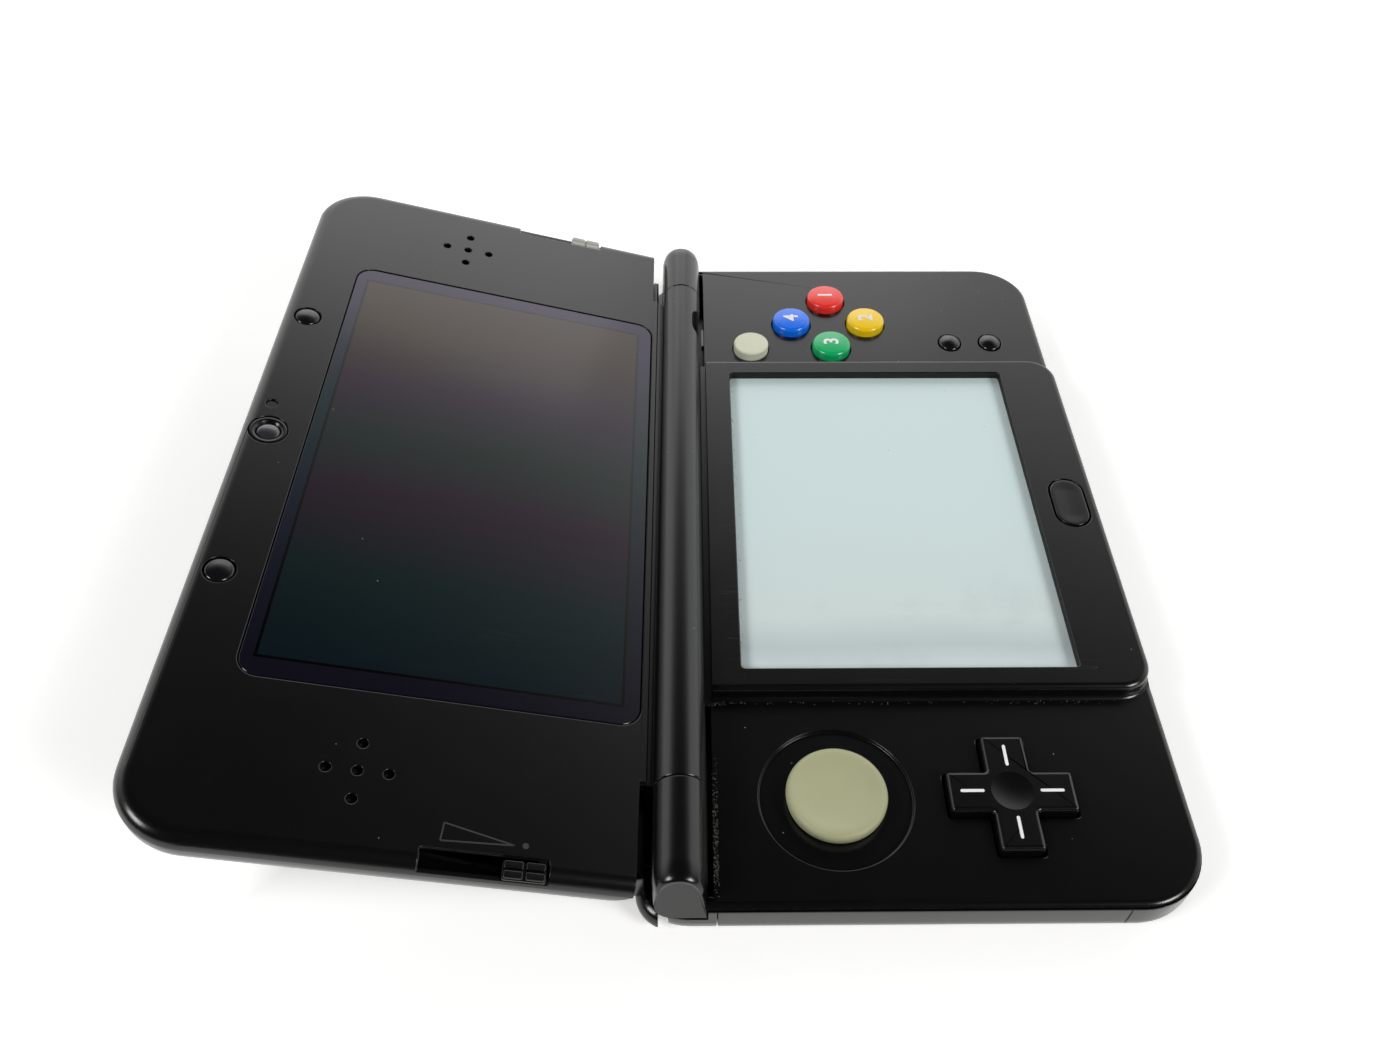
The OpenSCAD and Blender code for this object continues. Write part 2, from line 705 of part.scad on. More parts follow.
battery_side = 1;                               // from the side of the centre panel
battery_front = 13.3;                           // from the front edge
battery_gap = 2;                                // from the stylus
battery_rear = 22.5;                            // from the rear edge of the centre panel
battery_low = [stylus_x + stylus_r + battery_gap, -half_d + battery_front, cover_t + 0.2];
battery_high = [panel_w / 2 - battery_side, panel_rear_y - battery_rear,
    display_z - lower_display_t - 0.5];
card_bay_low = [battery_low[0] - 0.5, battery_high[1] + 4, floor_z];
card_bay_high = card_bay_low + [13, 15, floor_t];
card_chamfer = 2;
board_rear_y = panel_rear_y - trough_t - 1;
board_gap = 1.5;                                // between the board and the battery
screw_clear_r = 3;                              // hole in a board round a base screw's post
shield_inset = 2;
shield_front = 3;                               // from the battery
shield_rear = 3.4;                              // from the rear edge of the board
shield_w = battery_high[0] - battery_low[0] - 4 * shield_inset;
cover_screw_l = 3;

module battery() {
    color("#3a3d42") block(battery_low, battery_high);
}

module memory_card() {
    color("#20242c") translate([0, 0, floor_z + 0.1]) linear_extrude(0.9)
        polygon([[card_bay_low[0] + 0.2, card_bay_low[1] + 0.2],
            [card_bay_high[0] - 0.2, card_bay_low[1] + 0.2],
            [card_bay_high[0] - 0.2, card_bay_high[1] - card_chamfer - 0.2],
            [card_bay_high[0] - card_chamfer - 0.2, card_bay_high[1] - 0.2],
            [card_bay_low[0] + 0.2, card_bay_high[1] - 0.2]]);
}

// The board runs round the battery: along the right side and behind it.
module main_board() {
    inner_x = battery_high[0] + board_gap;
    outer_x = half_w - tray_inset - 1;
    rear_y = board_rear_y;
    front_y = -half_d + tray_inset + 4.5;
    color(board_green) translate([0, 0, board_z]) difference() {
        linear_extrude(board_t) polygon([[inner_x, front_y], [outer_x, front_y],
            [outer_x, rear_y], [battery_low[0], rear_y],
            [battery_low[0], battery_high[1] + board_gap], [inner_x, battery_high[1] + board_gap]]);
        for (spot = base_screw_spots) translate([spot[0], spot[1], -over])
            cylinder(r = screw_clear_r, h = board_t + 2 * over);
        cover_screw_spots() translate([0, 0, -over]) cylinder(r = 2.2, h = board_t + 2 * over);
    }
}

module processor_shield() {
    front_y = battery_high[1] + shield_front;
    color(metal_grey) translate([battery_low[0] + shield_inset, front_y, membrane_z])
        cube([shield_w, board_rear_y - shield_rear - front_y, 1.8]);
}

module left_control_board() {
    color(board_green) translate([0, 0, left_board_z]) difference() {
        block([-half_w + tray_inset + 1, -half_d + battery_front, 0],
            [card_x - card_w / 2 - 0.9, board_rear_y - 2.9, board_t]);
        for (spot = base_screw_spots) translate([spot[0], spot[1], -over])
            cylinder(r = 3, h = board_t + 2 * over);
        cover_screw_spots() translate([0, 0, -over]) cylinder(r = 2.2, h = board_t + 2 * over);
    }
}

module game_card_slot() {
    front_y = -half_d + tray_inset + seam;
    color(metal_grey) difference() {
        block([card_x - card_w / 2 - 0.4, front_y, card_z - card_wall / 2],
            [card_x + card_w / 2 + 0.4, front_y + card_l, card_z + card_h + card_wall]);
        block([card_x - card_w / 2, front_y - over, card_z],
            [card_x + card_w / 2, front_y + card_l - 1.5, card_z + card_h]);
    }
}

module headphone_jack() {
    color("#2a2b2d") difference() {
        union() {
            translate([jack_x, 0, jack_z]) rod_y(2.5, -half_d + 0.4, -half_d + tray_inset + 1.3);
            block([jack_x - 3, -half_d + tray_inset + tray_edge_r, floor_top],
                [jack_x + 3, -half_d + tray_inset + jack_l - 2, jack_z + jack_r + jack_wall]);
        }
        translate([jack_x, 0, jack_z]) rod_y(jack_r, -half_d - over, -half_d + jack_l);
    }
}

module charging_port() {
    color("#2a2b2d") difference() {
        block([-port_w / 2, half_d - 8, port_z], [port_w / 2, half_d - 0.8, port_z + port_h]);
        block([-port_w / 2 + 0.6, half_d - 6.5, port_z + 0.6],
            [port_w / 2 - 0.6, half_d, port_z + port_h - 0.6]);
    }
    color("#c8a24a") block([-port_w / 2 + 2, half_d - 7, port_z + port_h / 2 - 0.35],
        [port_w / 2 - 2, half_d - 2, port_z + port_h / 2 + 0.35]);
}

module microphone() {
    color("#8a8c8e")
        translate([lights_x - microphone_pitch, -half_d + tray_inset + 2.8, floor_top])
        cylinder(r = 1.6, h = 1.6);
}

module lower_display() {
    color("#2b2d31") translate([0, touch_y, display_z - lower_display_t])
        plate(touch_w + 2 * digitizer_margin, touch_d + 2 * digitizer_margin, lower_display_t, 0.5);
}

module touch_digitizer() {
    color("#cfdadb") translate([0, touch_y, display_z])
        plate(touch_w + 2 * digitizer_margin, touch_d + 2 * digitizer_margin, digitizer_t, 0.8);
}

module left_button_membrane() {
    color(rubber_grey) translate([control_x, dpad_y, housing_z])
        plate(dpad_span + 0.6, dpad_span + 0.6, dome_z - 0.25 - housing_z, 4);
}

module right_button_membrane() {
    color(rubber_grey) translate([0, 0, membrane_z]) difference() {
        block([menu_x - 4.5, start_y - 4, 0], [face_x + face_pitch + 5, nub_y + 3.2,
            membrane_top - membrane_z]);
        for (spot = base_screw_spots) translate([spot[0], spot[1], -over])
            cylinder(r = 3, h = 10);
    }
}

module circle_pad_housing() {
    cavity_half = housing_half - wall / 2;
    color("#2a2b2d") difference() {
        translate([control_x, circle_y, housing_z]) block([-housing_half, -housing_half, 0],
            [housing_half, housing_half, housing_top_z - housing_z]);
        translate([control_x, circle_y, housing_z + housing_floor])
            block([-cavity_half, -cavity_half, 0],
                [cavity_half, cavity_half, carriage_t + 0.6]);
        translate([control_x, circle_y, housing_z + housing_floor])
            cylinder(r = stem_hole_r + 0.1, h = deck_z);
    }
}

module circle_pad_carriage() {
    window_half_x = foot_half_x + 0.1;
    window_half_y = foot_half_y + circle_travel + 0.2;
    color("#d8d8d2") translate([control_x, circle_y, carriage_z]) difference() {
        block([-carriage_half_x, -carriage_half_y, 0],
            [carriage_half_x, carriage_half_y, carriage_t]);
        block([-window_half_x, -window_half_y, -over],
            [window_half_x, window_half_y, carriage_t + over]);
    }
}

module circle_pad() {
    color("#aaaa9b") translate([control_x, circle_y, 0]) {
        translate([0, 0, carriage_z + 0.05]) block([-foot_half_x, -foot_half_y, 0],
            [foot_half_x, foot_half_y, carriage_t - 0.1]);
        translate([0, 0, carriage_z + carriage_t - 0.1])
            cylinder(r = stem_r, h = cap_z - carriage_z - carriage_t + 0.2);
        translate([0, 0, cap_z]) difference() {
            button_cap(circle_r, side_z + circle_proud - cap_z, 0.9);
            translate([0, 0, side_z + circle_proud - cap_z + 30 - 0.5]) sphere(r = 30, $fn = 96);
        }
    }
}

module dpad_rubber_dome() {
    color(rubber_grey) translate([control_x, dpad_y, dome_z]) intersection() {
        sphere(r = dome_r);
        block([-dome_r, -dome_r, 0], [dome_r, dome_r, 2 * dome_r]);
    }
}

module dpad() {
    color(satin_black) translate([control_x, dpad_y, 0]) difference() {
        union() {
            translate([0, 0, dpad_flange_z]) cylinder(r = dpad_span / 2 - 1, h = dpad_flange_t);
            translate([0, 0, dpad_flange_z + dpad_flange_t])
                cross(dpad_span, dpad_arm, side_z + dpad_proud - dpad_flange_z - dpad_flange_t);
        }
        translate([0, 0, side_z + dpad_proud + 4 - 0.3]) sphere(r = 4);
    }
}

module nub_stick() {
    color("#c8c8be") translate([nub_x, nub_y, membrane_top]) {
        button_cap(nub_r, side_z + nub_proud - membrane_top, 0.8);
        cylinder(r = nub_r + flange_margin, h = flange_z + flange_t - membrane_top);
    }
}

module face_button(turn, tint) {
    color(tint) translate([face_x, face_y, flange_z]) rotate([0, 0, turn])
        translate([face_pitch, 0, 0]) {
            cylinder(r = face_r + flange_margin, h = flange_t);
            button_cap(face_r, side_z + face_proud - flange_z, 0.9);
        }
}

module red_button() { face_button(0, "#e5393c"); }
module blue_button() { face_button(90, "#1d5cd2"); }
module green_button() { face_button(180, "#1d9660"); }
module yellow_button() { face_button(270, "#f7b02d"); }

module menu_button(y) {
    color(shell_black) translate([menu_x, y, flange_z]) {
        cylinder(r = menu_r + flange_margin, h = flange_t);
        button_cap(menu_r, side_z + menu_proud - flange_z, 0.6);
    }
}

module select_button() { menu_button(select_y); }
module start_button() { menu_button(start_y); }

module home_button() {
    color(satin_black) translate([0, home_y, side_z]) {
        translate([0, 0, menu_travel + 0.1])
            stadium(home_w + 1.4, home_d + 1.2, 1.4 - menu_travel - 0.25);
        translate([0, 0, menu_travel + 0.1])
            stadium(home_w, home_d, panel_step - menu_travel);
    }
}

module power_button() {
    front_y = -half_d + 0.25;
    color(shell_black) translate([power_x, 0, power_z]) rotate([90, 0, 0]) {
        translate([0, 0, -front_y - tray_inset]) stadium(power_w, power_h, tray_inset);
        translate([0, 0, -front_y - tray_inset - 0.75]) stadium(power_w + 1.6, power_h + 1, 0.7);
        translate([0, 0, -front_y - tray_inset - 0.8]) stadium(power_w - 1, power_h - 0.4, 1);
    }
}

module status_lights() {
    color("#dfe8e4") for (i = [0, 1])
        block([lights_x + 4 * i - 1, -half_d + 0.3, power_z - 0.5],
            [lights_x + 4 * i + 1, -half_d + tray_inset + 2, power_z + 0.5]);
}

module notification_light() {
    color("#e8ece8") block([scoop_x - 2.5, hinge_y - trough_r - 1, side_z - 1.4],
        [scoop_x + 2.5, hinge_y - trough_r + 0.1, side_z - 0.1]);
}

module infrared_window() {
    color("#2a0f12") block([ir_x - ir_w / 2, half_d - 2.1, port_z],
        [ir_x + ir_w / 2, half_d - 0.8, port_z + port_h]);
}

// A shoulder button wraps the rear corner and turns on a post at its inner end.
module right_shoulder_button() {
    color(satin_black) difference() {
        intersection() {
            slab(body_w - 0.1, body_d - 0.1, side_z - 0.2, corner_r, base_edge_r, 1.6);
            block([shoulder_end_x, shoulder_front_y, shoulder_bay_z + 0.2],
                [half_w, half_d, side_z]);
        }
        translate([shoulder_pivot_x, shoulder_pivot_y, 0])
            cylinder(r = shoulder_pivot_r + 0.08, h = side_z - 1.1);
    }
}

module left_shoulder_button() { mirror([1, 0, 0]) right_shoulder_button(); }

module right_rear_trigger() {
    color(satin_black) translate([trigger_outer_x - trigger_gap - trigger_w, 0, trigger_z])
        block([0, shoulder_cut_y + trigger_travel + 0.3, 0],
            [trigger_w, half_d - 0.15, trigger_h]);
}

module left_rear_trigger() { mirror([1, 0, 0]) right_rear_trigger(); }

module stylus() {
    color(shell_black) translate([stylus_x, 0, stylus_z]) {
        rod_y(stylus_r, -half_d + 0.2, -half_d + stylus_l - 6);
        translate([0, -half_d + stylus_l - 6, 0]) rotate([-90, 0, 0])
            cylinder(r1 = stylus_r, r2 = 0.5, h = 6);
    }
}

// ---------- hinge ----------

click_r = 2.4;
click_l = 11;

module hinge_pin() {
    color(metal_grey) translate([0, hinge_y, hinge_z])
        rod_x(pin_r, left_seam_x - pin_reach, left_seam_x + knuckle_gap + pin_reach);
}

module hinge_click_unit() {
    color(metal_grey) translate([0, hinge_y, hinge_z]) {
        rod_x(click_r, right_seam_x, right_seam_x + click_l);
        rod_x(pin_r, right_seam_x - knuckle_gap - pin_reach, right_seam_x + 1);
    }
}

module lid_place() {
    translate([0, hinge_y, hinge_z]) rotate([rest_tilt, 0, 0]) children();
}

module hinge_barrel() {
    left_x = left_seam_x + knuckle_gap;
    right_x = right_seam_x - knuckle_gap;
    color(satin_black) difference() {
        lid_place() {
            rod_x(barrel_r, left_x, right_x);
            block([left_x + 0.2, 2, neck_top - neck_t], [right_x - 0.2, lid_near, neck_top]);
        }
        lid_place() rod_x(bore_r, left_x - over, right_x + over);
        // scoop over the notification light, cut straight down in the open position
        translate([scoop_x, hinge_y, hinge_z - 2 * barrel_r]) linear_extrude(4 * barrel_r)
            polygon([[-scoop_w / 2, -barrel_r - over], [-scoop_w / 2, -barrel_r],
                [-scoop_w * 0.2, -2.5], [scoop_w * 0.2, -2.2], [scoop_w * 0.42, -2.6],
                [scoop_w / 2, -barrel_r], [scoop_w / 2, -barrel_r - over]]);
    }
}

module hinge_flex_cable() {
    color("#b5782e") lid_place() rod_x(bore_r - 0.25, left_seam_x + knuckle_gap + pin_reach + 1,
        right_seam_x - knuckle_gap - pin_reach - 1);
}

// ---------- lid ----------

lid_d = 2 * lid_far;                            // the slab is cut off at its near end
near_wall = 1.6;

module lid_outer_cover() {
    slope_v = lid_near + bevel_run;
    color(satin_black) lid_place() difference() {
        translate([0, 0, -lid_t]) slab(lid_w, lid_d, lid_cover_t, corner_r, lid_edge_r, 0);
        rotate([90, 0, 90]) translate([0, 0, -half_w - over]) linear_extrude(body_w + 2 * over)
            polygon([[-lid_far - over, over], [lid_near, over], [lid_near, -bezel_t],
                [slope_v, -lid_t], [slope_v, -lid_t - over], [-lid_far - over, -lid_t - over]]);
        intersection() {
            translate([0, 0, -lid_t + wall]) slab(lid_w - 2 * wall, lid_d - 2 * wall, lid_t,
                corner_r - wall, lid_edge_r - wall, 0);
            rotate([90, 0, 90]) translate([0, 0, -half_w]) linear_extrude(body_w)
                polygon([[lid_near + near_wall, over], [lid_near + near_wall, -bezel_t],
                    [slope_v + 0.6, -lid_t + wall], [lid_far, -lid_t + wall], [lid_far, over]]);
        }
        for (side = [-1, 1])
            translate([side * stereo_x / 2, camera_v - stereo_offset, -lid_t - over])
                cylinder(r = stereo_r + seam, h = 2 * over + wall);
    }
}

module speaker_holes() {
    for (x = [-speaker_x, speaker_x]) translate([x, speaker_v, -bezel_t])
        for (spot = [[0, 0], [1, 0], [-1, 0], [0, 1], [0, -1]])
            translate(concat(speaker_pitch * spot, 0)) cylinder(r = speaker_hole_r, h = bezel_t + over);
}

module slider_step(length) {
    block([lid_half_w - knob_w - 0.4, lid_near + 0.4, -knob_step], [half_w + over, length, over]);
}

module slider_slot() {
    low_v = knob_v - 1.7;
    block([lid_half_w - knob_w + 0.25, low_v, -bezel_t], [lid_half_w - knob_w + 1.35,
        knob_v + knob_travel + 1.7, over]);
}

module lid_inner_bezel() {
    color(satin_black) lid_place() difference() {
        union() {
            difference() {
                translate([0, 0, -bezel_t])
                    slab(lid_w, lid_d, bezel_t, corner_r, 0, lid_rim_r);
                block([-half_w - over, -lid_far - over, -lid_t],
                    [half_w + over, lid_near, over]);
                intersection() {
                    translate([0, 0, -bezel_t - over]) plate(lid_w - 2 * wall,
                        lid_d - 2 * wall, bezel_t - bezel_plate_t + over, corner_r - wall);
                    block([-half_w, lid_near + wall, -lid_t], [half_w, lid_far, 0]);
                }
            }
            block([left_seam_x + knuckle_gap + 0.2, lip_near, neck_top],
                [right_seam_x - knuckle_gap - 0.2, lid_near, 0]);
            // rails that carry the slider knobs
            left_and_right() block([lid_half_w - knob_w - 0.8, lid_near, -bezel_t],
                [lid_half_w - wall / 2, knob_v + knob_travel + 5, -knob_step]);
        }
        // window seat and display opening
        translate([0, window_near + window_d / 2, window_back - seam])
            plate(window_w + 2 * seam, window_d + 2 * seam, window_t + over + 1, window_r);
        translate([0, picture_v, -bezel_t]) plate(picture_w + 1.2, picture_d + 0.8, bezel_t, 0.6);
        speaker_holes();
        slider_step(knob_v + knob_travel + knob_l / 2 + 0.7);
        mirror([1, 0, 0]) slider_step(knob_v + knob_travel + knob_l / 2 + 0.7);
        left_and_right() slider_slot();
        // camera, tracking light and bumpers
        translate([0, camera_v, -bezel_t]) cylinder(r = camera_r + seam, h = bezel_t + over);
        translate([tracking_x, camera_v + 0.8, -bezel_t]) cylinder(r = 0.95, h = bezel_t + over);
        for (side = [-1, 1]) translate([side * bumper_x, camera_v, -1])
            cylinder(r = bumper_r + seam, h = 1 + over);
        for (side = [-1, 1]) translate([side * bumper_x, camera_v, -bezel_t])
            cylinder(r = 0.8, h = bezel_t);
    }
}

module display_window() {
    color("#141019") lid_place() translate([0, window_near + window_d / 2, window_back])
        plate(window_w, window_d, window_t, window_r);
}

display_trim = 0.6;                             // keeps it off the cover's slanted near wall

module upper_display() {
    color("#33302c") lid_place() translate([0, picture_v + display_trim / 2, display_back])
        plate(picture_w + 2 * display_margin + 0.4,
            picture_d + 2 * display_margin - 1.4 - display_trim, upper_display_t, 0.6);
}

lid_board_margin = 2.25;

module lid_board() {
    color(board_green) lid_place()
        block([-picture_w / 2 + lid_board_margin, picture_v - picture_d / 2 + 6 * lid_board_margin,
            display_back - board_t],
            [picture_w / 2 - lid_board_margin, picture_v + picture_d / 2 - 3 * lid_board_margin,
            display_back]);
}

module speakers() {
    color("#2e2f31") for (side = [-1, 1]) lid_place()
        translate([side * speaker_x, speaker_v, -bezel_plate_t - speaker_t])
            plate(speaker_w, speaker_l, speaker_t, 2);
}

module inner_camera() {
    color("#3c3d3f") lid_place() translate([0, camera_v, -4]) difference() {
        cylinder(r = camera_r, h = 4 - 0.05);
        translate([0, 0, 4 - 0.5]) cylinder(r = 1.7, h = over);
    }
}

module outer_cameras() {
    color("#101114") for (side = [-1, 1]) lid_place()
        translate([side * stereo_x / 2, camera_v - stereo_offset, -lid_t + 0.1])
            cylinder(r = stereo_r, h = stereo_l);
}

module tracking_light() {
    color("#22090c") lid_place() translate([tracking_x, camera_v + 0.8, -2.6])
        cylinder(r = 0.85, h = 2.6 - 0.3);
}

module lid_bumpers() {
    color(rubber_grey) for (side = [-1, 1]) lid_place()
        translate([side * bumper_x, camera_v, -0.95])
            button_cap(bumper_r, 0.95 + bumper_proud, 0.7);
}

lid_screw_l = bezel_t + 0.2;

module lid_screws() {
    color(metal_grey) for (side = [-1, 1]) lid_place()
        translate([side * bumper_x, camera_v, -1 - lid_screw_l])
            cylinder(r = 0.7, h = lid_screw_l);
}

// A slider knob lies in the step at the lid's edge; its tongue runs in the slot.
module slider_knob() {
    block([lid_half_w - knob_w, knob_v - knob_l / 2, -knob_step + 0.1],
        [lid_half_w, knob_v + knob_l / 2, -0.1]);
    block([lid_half_w - knob_w + 0.4, knob_v - 1.5, -bezel_t + 0.3],
        [lid_half_w - knob_w + 1.2, knob_v + 1.5, -knob_step + 0.2]);
}

module volume_slider() {
    color(satin_black) lid_place() mirror([1, 0, 0]) slider_knob();
}

module depth_slider() {
    color("#c9c9c0") lid_place() slider_knob();
}

base_lower_shell();
base_upper_shell();
touch_bezel();
bottom_cover_plate();
cover_screws();
base_screws();
battery();
main_board();
processor_shield();
left_control_board();
game_card_slot();
memory_card();
headphone_jack();
charging_port();
lower_display();
touch_digitizer();
left_button_membrane();
right_button_membrane();
circle_pad_housing();
nub_stick();
microphone();
status_lights();
notification_light();
infrared_window();
hinge_pin();
hinge_click_unit();
circle_pad_carriage();
circle_pad();
dpad_rubber_dome();
dpad();
red_button();
yellow_button();
green_button();
blue_button();
select_button();
start_button();
home_button();
power_button();
left_shoulder_button();
right_shoulder_button();
left_rear_trigger();
right_rear_trigger();
stylus();
lid_outer_cover();
lid_inner_bezel();
hinge_barrel();
display_window();
upper_display();
lid_board();
speakers();
inner_camera();
outer_cameras();
tracking_light();
lid_bumpers();
volume_slider();
depth_slider();
hinge_flex_cable();
lid_screws();
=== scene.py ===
import json
import math
import random

import bmesh
import bpy
from mathutils import Matrix, Vector


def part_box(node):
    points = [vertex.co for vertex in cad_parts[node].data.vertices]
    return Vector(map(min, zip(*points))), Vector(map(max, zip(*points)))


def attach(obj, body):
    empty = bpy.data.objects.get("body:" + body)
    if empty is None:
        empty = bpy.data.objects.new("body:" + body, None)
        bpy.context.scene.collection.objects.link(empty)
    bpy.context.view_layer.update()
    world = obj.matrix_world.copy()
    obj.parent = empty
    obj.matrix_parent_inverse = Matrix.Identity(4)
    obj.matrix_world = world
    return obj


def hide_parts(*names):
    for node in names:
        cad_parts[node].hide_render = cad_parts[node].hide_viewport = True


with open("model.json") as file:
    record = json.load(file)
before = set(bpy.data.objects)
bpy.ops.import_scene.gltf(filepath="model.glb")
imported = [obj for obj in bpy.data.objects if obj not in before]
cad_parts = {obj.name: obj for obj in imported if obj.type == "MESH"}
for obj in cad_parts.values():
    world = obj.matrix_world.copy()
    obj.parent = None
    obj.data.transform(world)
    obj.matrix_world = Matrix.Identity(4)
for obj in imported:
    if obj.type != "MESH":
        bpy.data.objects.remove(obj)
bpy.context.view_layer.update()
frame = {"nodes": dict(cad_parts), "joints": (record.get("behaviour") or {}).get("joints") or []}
print("frame loaded:", len(frame["nodes"]), "nodes")

mm = 0.001
joints = {joint["name"]: joint for joint in frame["joints"]}
hingeY, hingeZ = (value / mm for value in joints["lid_hinge"]["pos_m"][1:])
lidTilt = math.radians(180 - joints["lid_hinge"]["range_deg"][1])
lidPlace = Matrix.Translation((0, hingeY, hingeZ)) @ Matrix.Rotation(lidTilt, 4, "X")


def sizeOf(node):
    low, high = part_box(node)
    return low / mm, high / mm


def middleOf(node):
    low, high = sizeOf(node)
    return (low + high) / 2


def between(side, near, far):
    # span on one side of the middle, lowest end first
    return sorted((side * near, side * far))


def around(middle, half):
    return middle - half, middle + half


def wider(pair, by):
    return pair[0] + by, pair[1] + by


def grown(node, axis, by):
    # a node's span along one axis, longer at both ends
    low, high = (corner["xyz".index(axis)] for corner in sizeOf(node))
    return low - by, high + by


pictureHalf = (42.24, 25.35)
halfBody = (68.0, 67.0, 28.5)      # half width, half depth and middle of what covers the table


def onLid(node):
    # middle of a lid node, in the lid's own frame
    return lidPlace.inverted() @ middleOf(node)


class Link:
    # a node's output socket that Python arithmetic works on
    def __init__(self, maker, socket):
        self.maker, self.socket = maker, socket

    def maths(self, operation, *others):
        values = dict(enumerate((self, *others)))
        return self.maker.node("ShaderNodeMath", {"operation": operation}, values)

    def __add__(self, other):
        return self.maths("ADD", other)

    def __sub__(self, other):
        return self.maths("SUBTRACT", other)

    def __rsub__(self, other):
        return self.maker.node("ShaderNodeMath", {"operation": "SUBTRACT"}, {0: other, 1: self})

    def __mul__(self, other):
        return self.maths("MULTIPLY", other)

    def __lt__(self, other):
        return self.maths("LESS_THAN", other)

    def __gt__(self, other):
        return self.maths("GREATER_THAN", other)

    def size(self):
        return self.maths("ABSOLUTE")

    def most(self, other):
        return self.maths("MAXIMUM", other)

    def step(self, low, high):
        # 0 at low, 1 at high, smooth between
        settings = {"interpolation_type": "SMOOTHSTEP"}
        values = {"Value": self, "From Min": low, "From Max": high}
        return self.maker.node("ShaderNodeMapRange", settings, values)

    __radd__ = __add__
    __rmul__ = __mul__


class Nodes:
    # adds nodes to a tree and joins them
    def __init__(self, tree):
        self.tree = tree

    def feed(self, socket, value):
        if isinstance(value, Link):
            self.tree.links.new(value.socket, socket)
        elif isinstance(value, tuple) and len(value) == 3 and len(socket.default_value) == 4:
            socket.default_value = (*value, 1)
        else:
            socket.default_value = value

    def node(self, kind, settings, values, output=0):
        made = self.tree.nodes.new(kind)
        for name, setting in settings.items():
            if name == "stops":
                self.setStops(made.color_ramp, setting)
            else:
                setattr(made, name, setting)
        for name, value in values.items():
            self.feed(made.inputs[name], value)
        return Link(self, made.outputs[output])

    def setStops(self, ramp, stops):
        while len(ramp.elements) < len(stops):
            ramp.elements.new(0.5)
        for element, (position, colour) in zip(ramp.elements, stops):
            element.position = position
            element.color = (*colour, 1)


class Paint(Nodes):
    # the nodes of a material, or of the world
    def __init__(self, name, world=None):
        self.material = world or bpy.data.materials.new(name)
        self.material.use_nodes = True
        super().__init__(self.material.node_tree)
        self.shader = self.tree.nodes["Background" if world else "Principled BSDF"]
        self.place = self.node("ShaderNodeTexCoord", {}, {}, "Generated" if world else "Object")

    def set(self, **values):
        for name, value in values.items():
            socket = "".join(" " + letter if letter.isupper() else letter for letter in name)
            self.feed(self.shader.inputs[socket.strip().title().replace("Ior", "IOR")], value)
        return self

    def onLidPlane(self):
        # patterns in the lid's own frame: x along the hinge, y away from it
        pivot = (0, hingeY * mm, hingeZ * mm)
        settings = {"vector_type": "TEXTURE"}
        values = {"Vector": self.place, "Location": pivot, "Rotation": (lidTilt, 0, 0)}
        self.place = self.node("ShaderNodeMapping", settings, values)
        return self

    def axes(self):
        settings, values = {}, {"Vector": self.place}
        return [self.node("ShaderNodeSeparateXYZ", settings, values, axis) for axis in "XYZ"]

    def shifted(self, offset=(0, 0, 0), turn=(0, 0, 0), scale=(1, 1, 1)):
        values = {"Vector": self.place, "Location": offset, "Rotation": turn, "Scale": scale}
        return self.node("ShaderNodeMapping", {}, values)

    def noise(self, perMetre, detail=2.0, roughness=0.5, vector=None):
        values = {"Vector": vector or self.place, "Scale": perMetre, "Detail": detail,
                  "Roughness": roughness}
        return self.node("ShaderNodeTexNoise", {}, values)

    def mix(self, amount, first, second):
        # colours: first where amount is 0, second where it is 1
        settings = {"data_type": "RGBA"}
        return self.node("ShaderNodeMix", settings, {0: amount, 6: first, 7: second}, 2)

    def colour(self, amount, first, second):
        self.set(BaseColor=self.mix(amount, first, second))

    def specks(self, perMetre, radius, offset=0.0):
        # 1 inside small round dots, one in each cell of a jittered grid
        vector = self.shifted(offset=(offset, offset, offset))
        values = {"Vector": vector, "Scale": perMetre}
        return self.node("ShaderNodeTexVoronoi", {}, values, "Distance") < radius

    def scratches(self, perMetre, turn, width, offset=0.0):
        # 1 along thin broken lines that run one way
        vector = self.shifted((offset, offset, 0), (0, 0, turn), (1, 0.03, 0))
        line = (self.noise(perMetre, 0, 0.5, vector) - 0.5).size() < width
        return line * (self.noise(perMetre * 0.3, 1) > 0.6)

    def bump(self, height, distance, strength=1.0):
        values = {"Height": height, "Distance": distance, "Strength": strength}
        self.feed(self.shader.inputs["Normal"], self.node("ShaderNodeBump", {}, values))
        return self


# camera, light and floor

view = {
    "place": (-135.5, 30.5, 155.9),
    "turn": (42.06, -0.33, -90.56),
    "lens": 29.79,
}
cameraData = bpy.data.cameras.new("photoCamera")
cameraData.lens = view["lens"]
cameraData.clip_start = 0.01
camera = bpy.data.objects.new("photoCamera", cameraData)
camera.location = Vector(view["place"]) * mm
camera.rotation_euler = [math.radians(angle) for angle in view["turn"]]
bpy.context.scene.collection.objects.link(camera)
bpy.context.scene.camera = camera

studio = {
    "floorHalf": 3.0,
    "room": (   # sine of the height over the horizon, brightness
        (0.00, 1.40), (0.48, 1.45), (0.57, 1.55), (0.63, 1.05), (0.69, 0.56), (0.75, 0.24),
        (0.81, 0.03), (0.88, 0.00),
    ),
    "dimSide": 0.01,    # how bright the walls are on the camera's side
    "lamps": (
        # name, place, size, watts
        ("farWindow", (1.60, 0.10, 0.75), 1.0, 2.0),
        ("leftFill", (-0.75, 1.40, 1.20), 0.6, 17.0),
        ("rightFill", (-0.95, -1.30, 1.05), 0.6, 20.0),
    ),
    "floorGlow": 0.42,    # keeps the table white without a lamp that the black parts would mirror
}


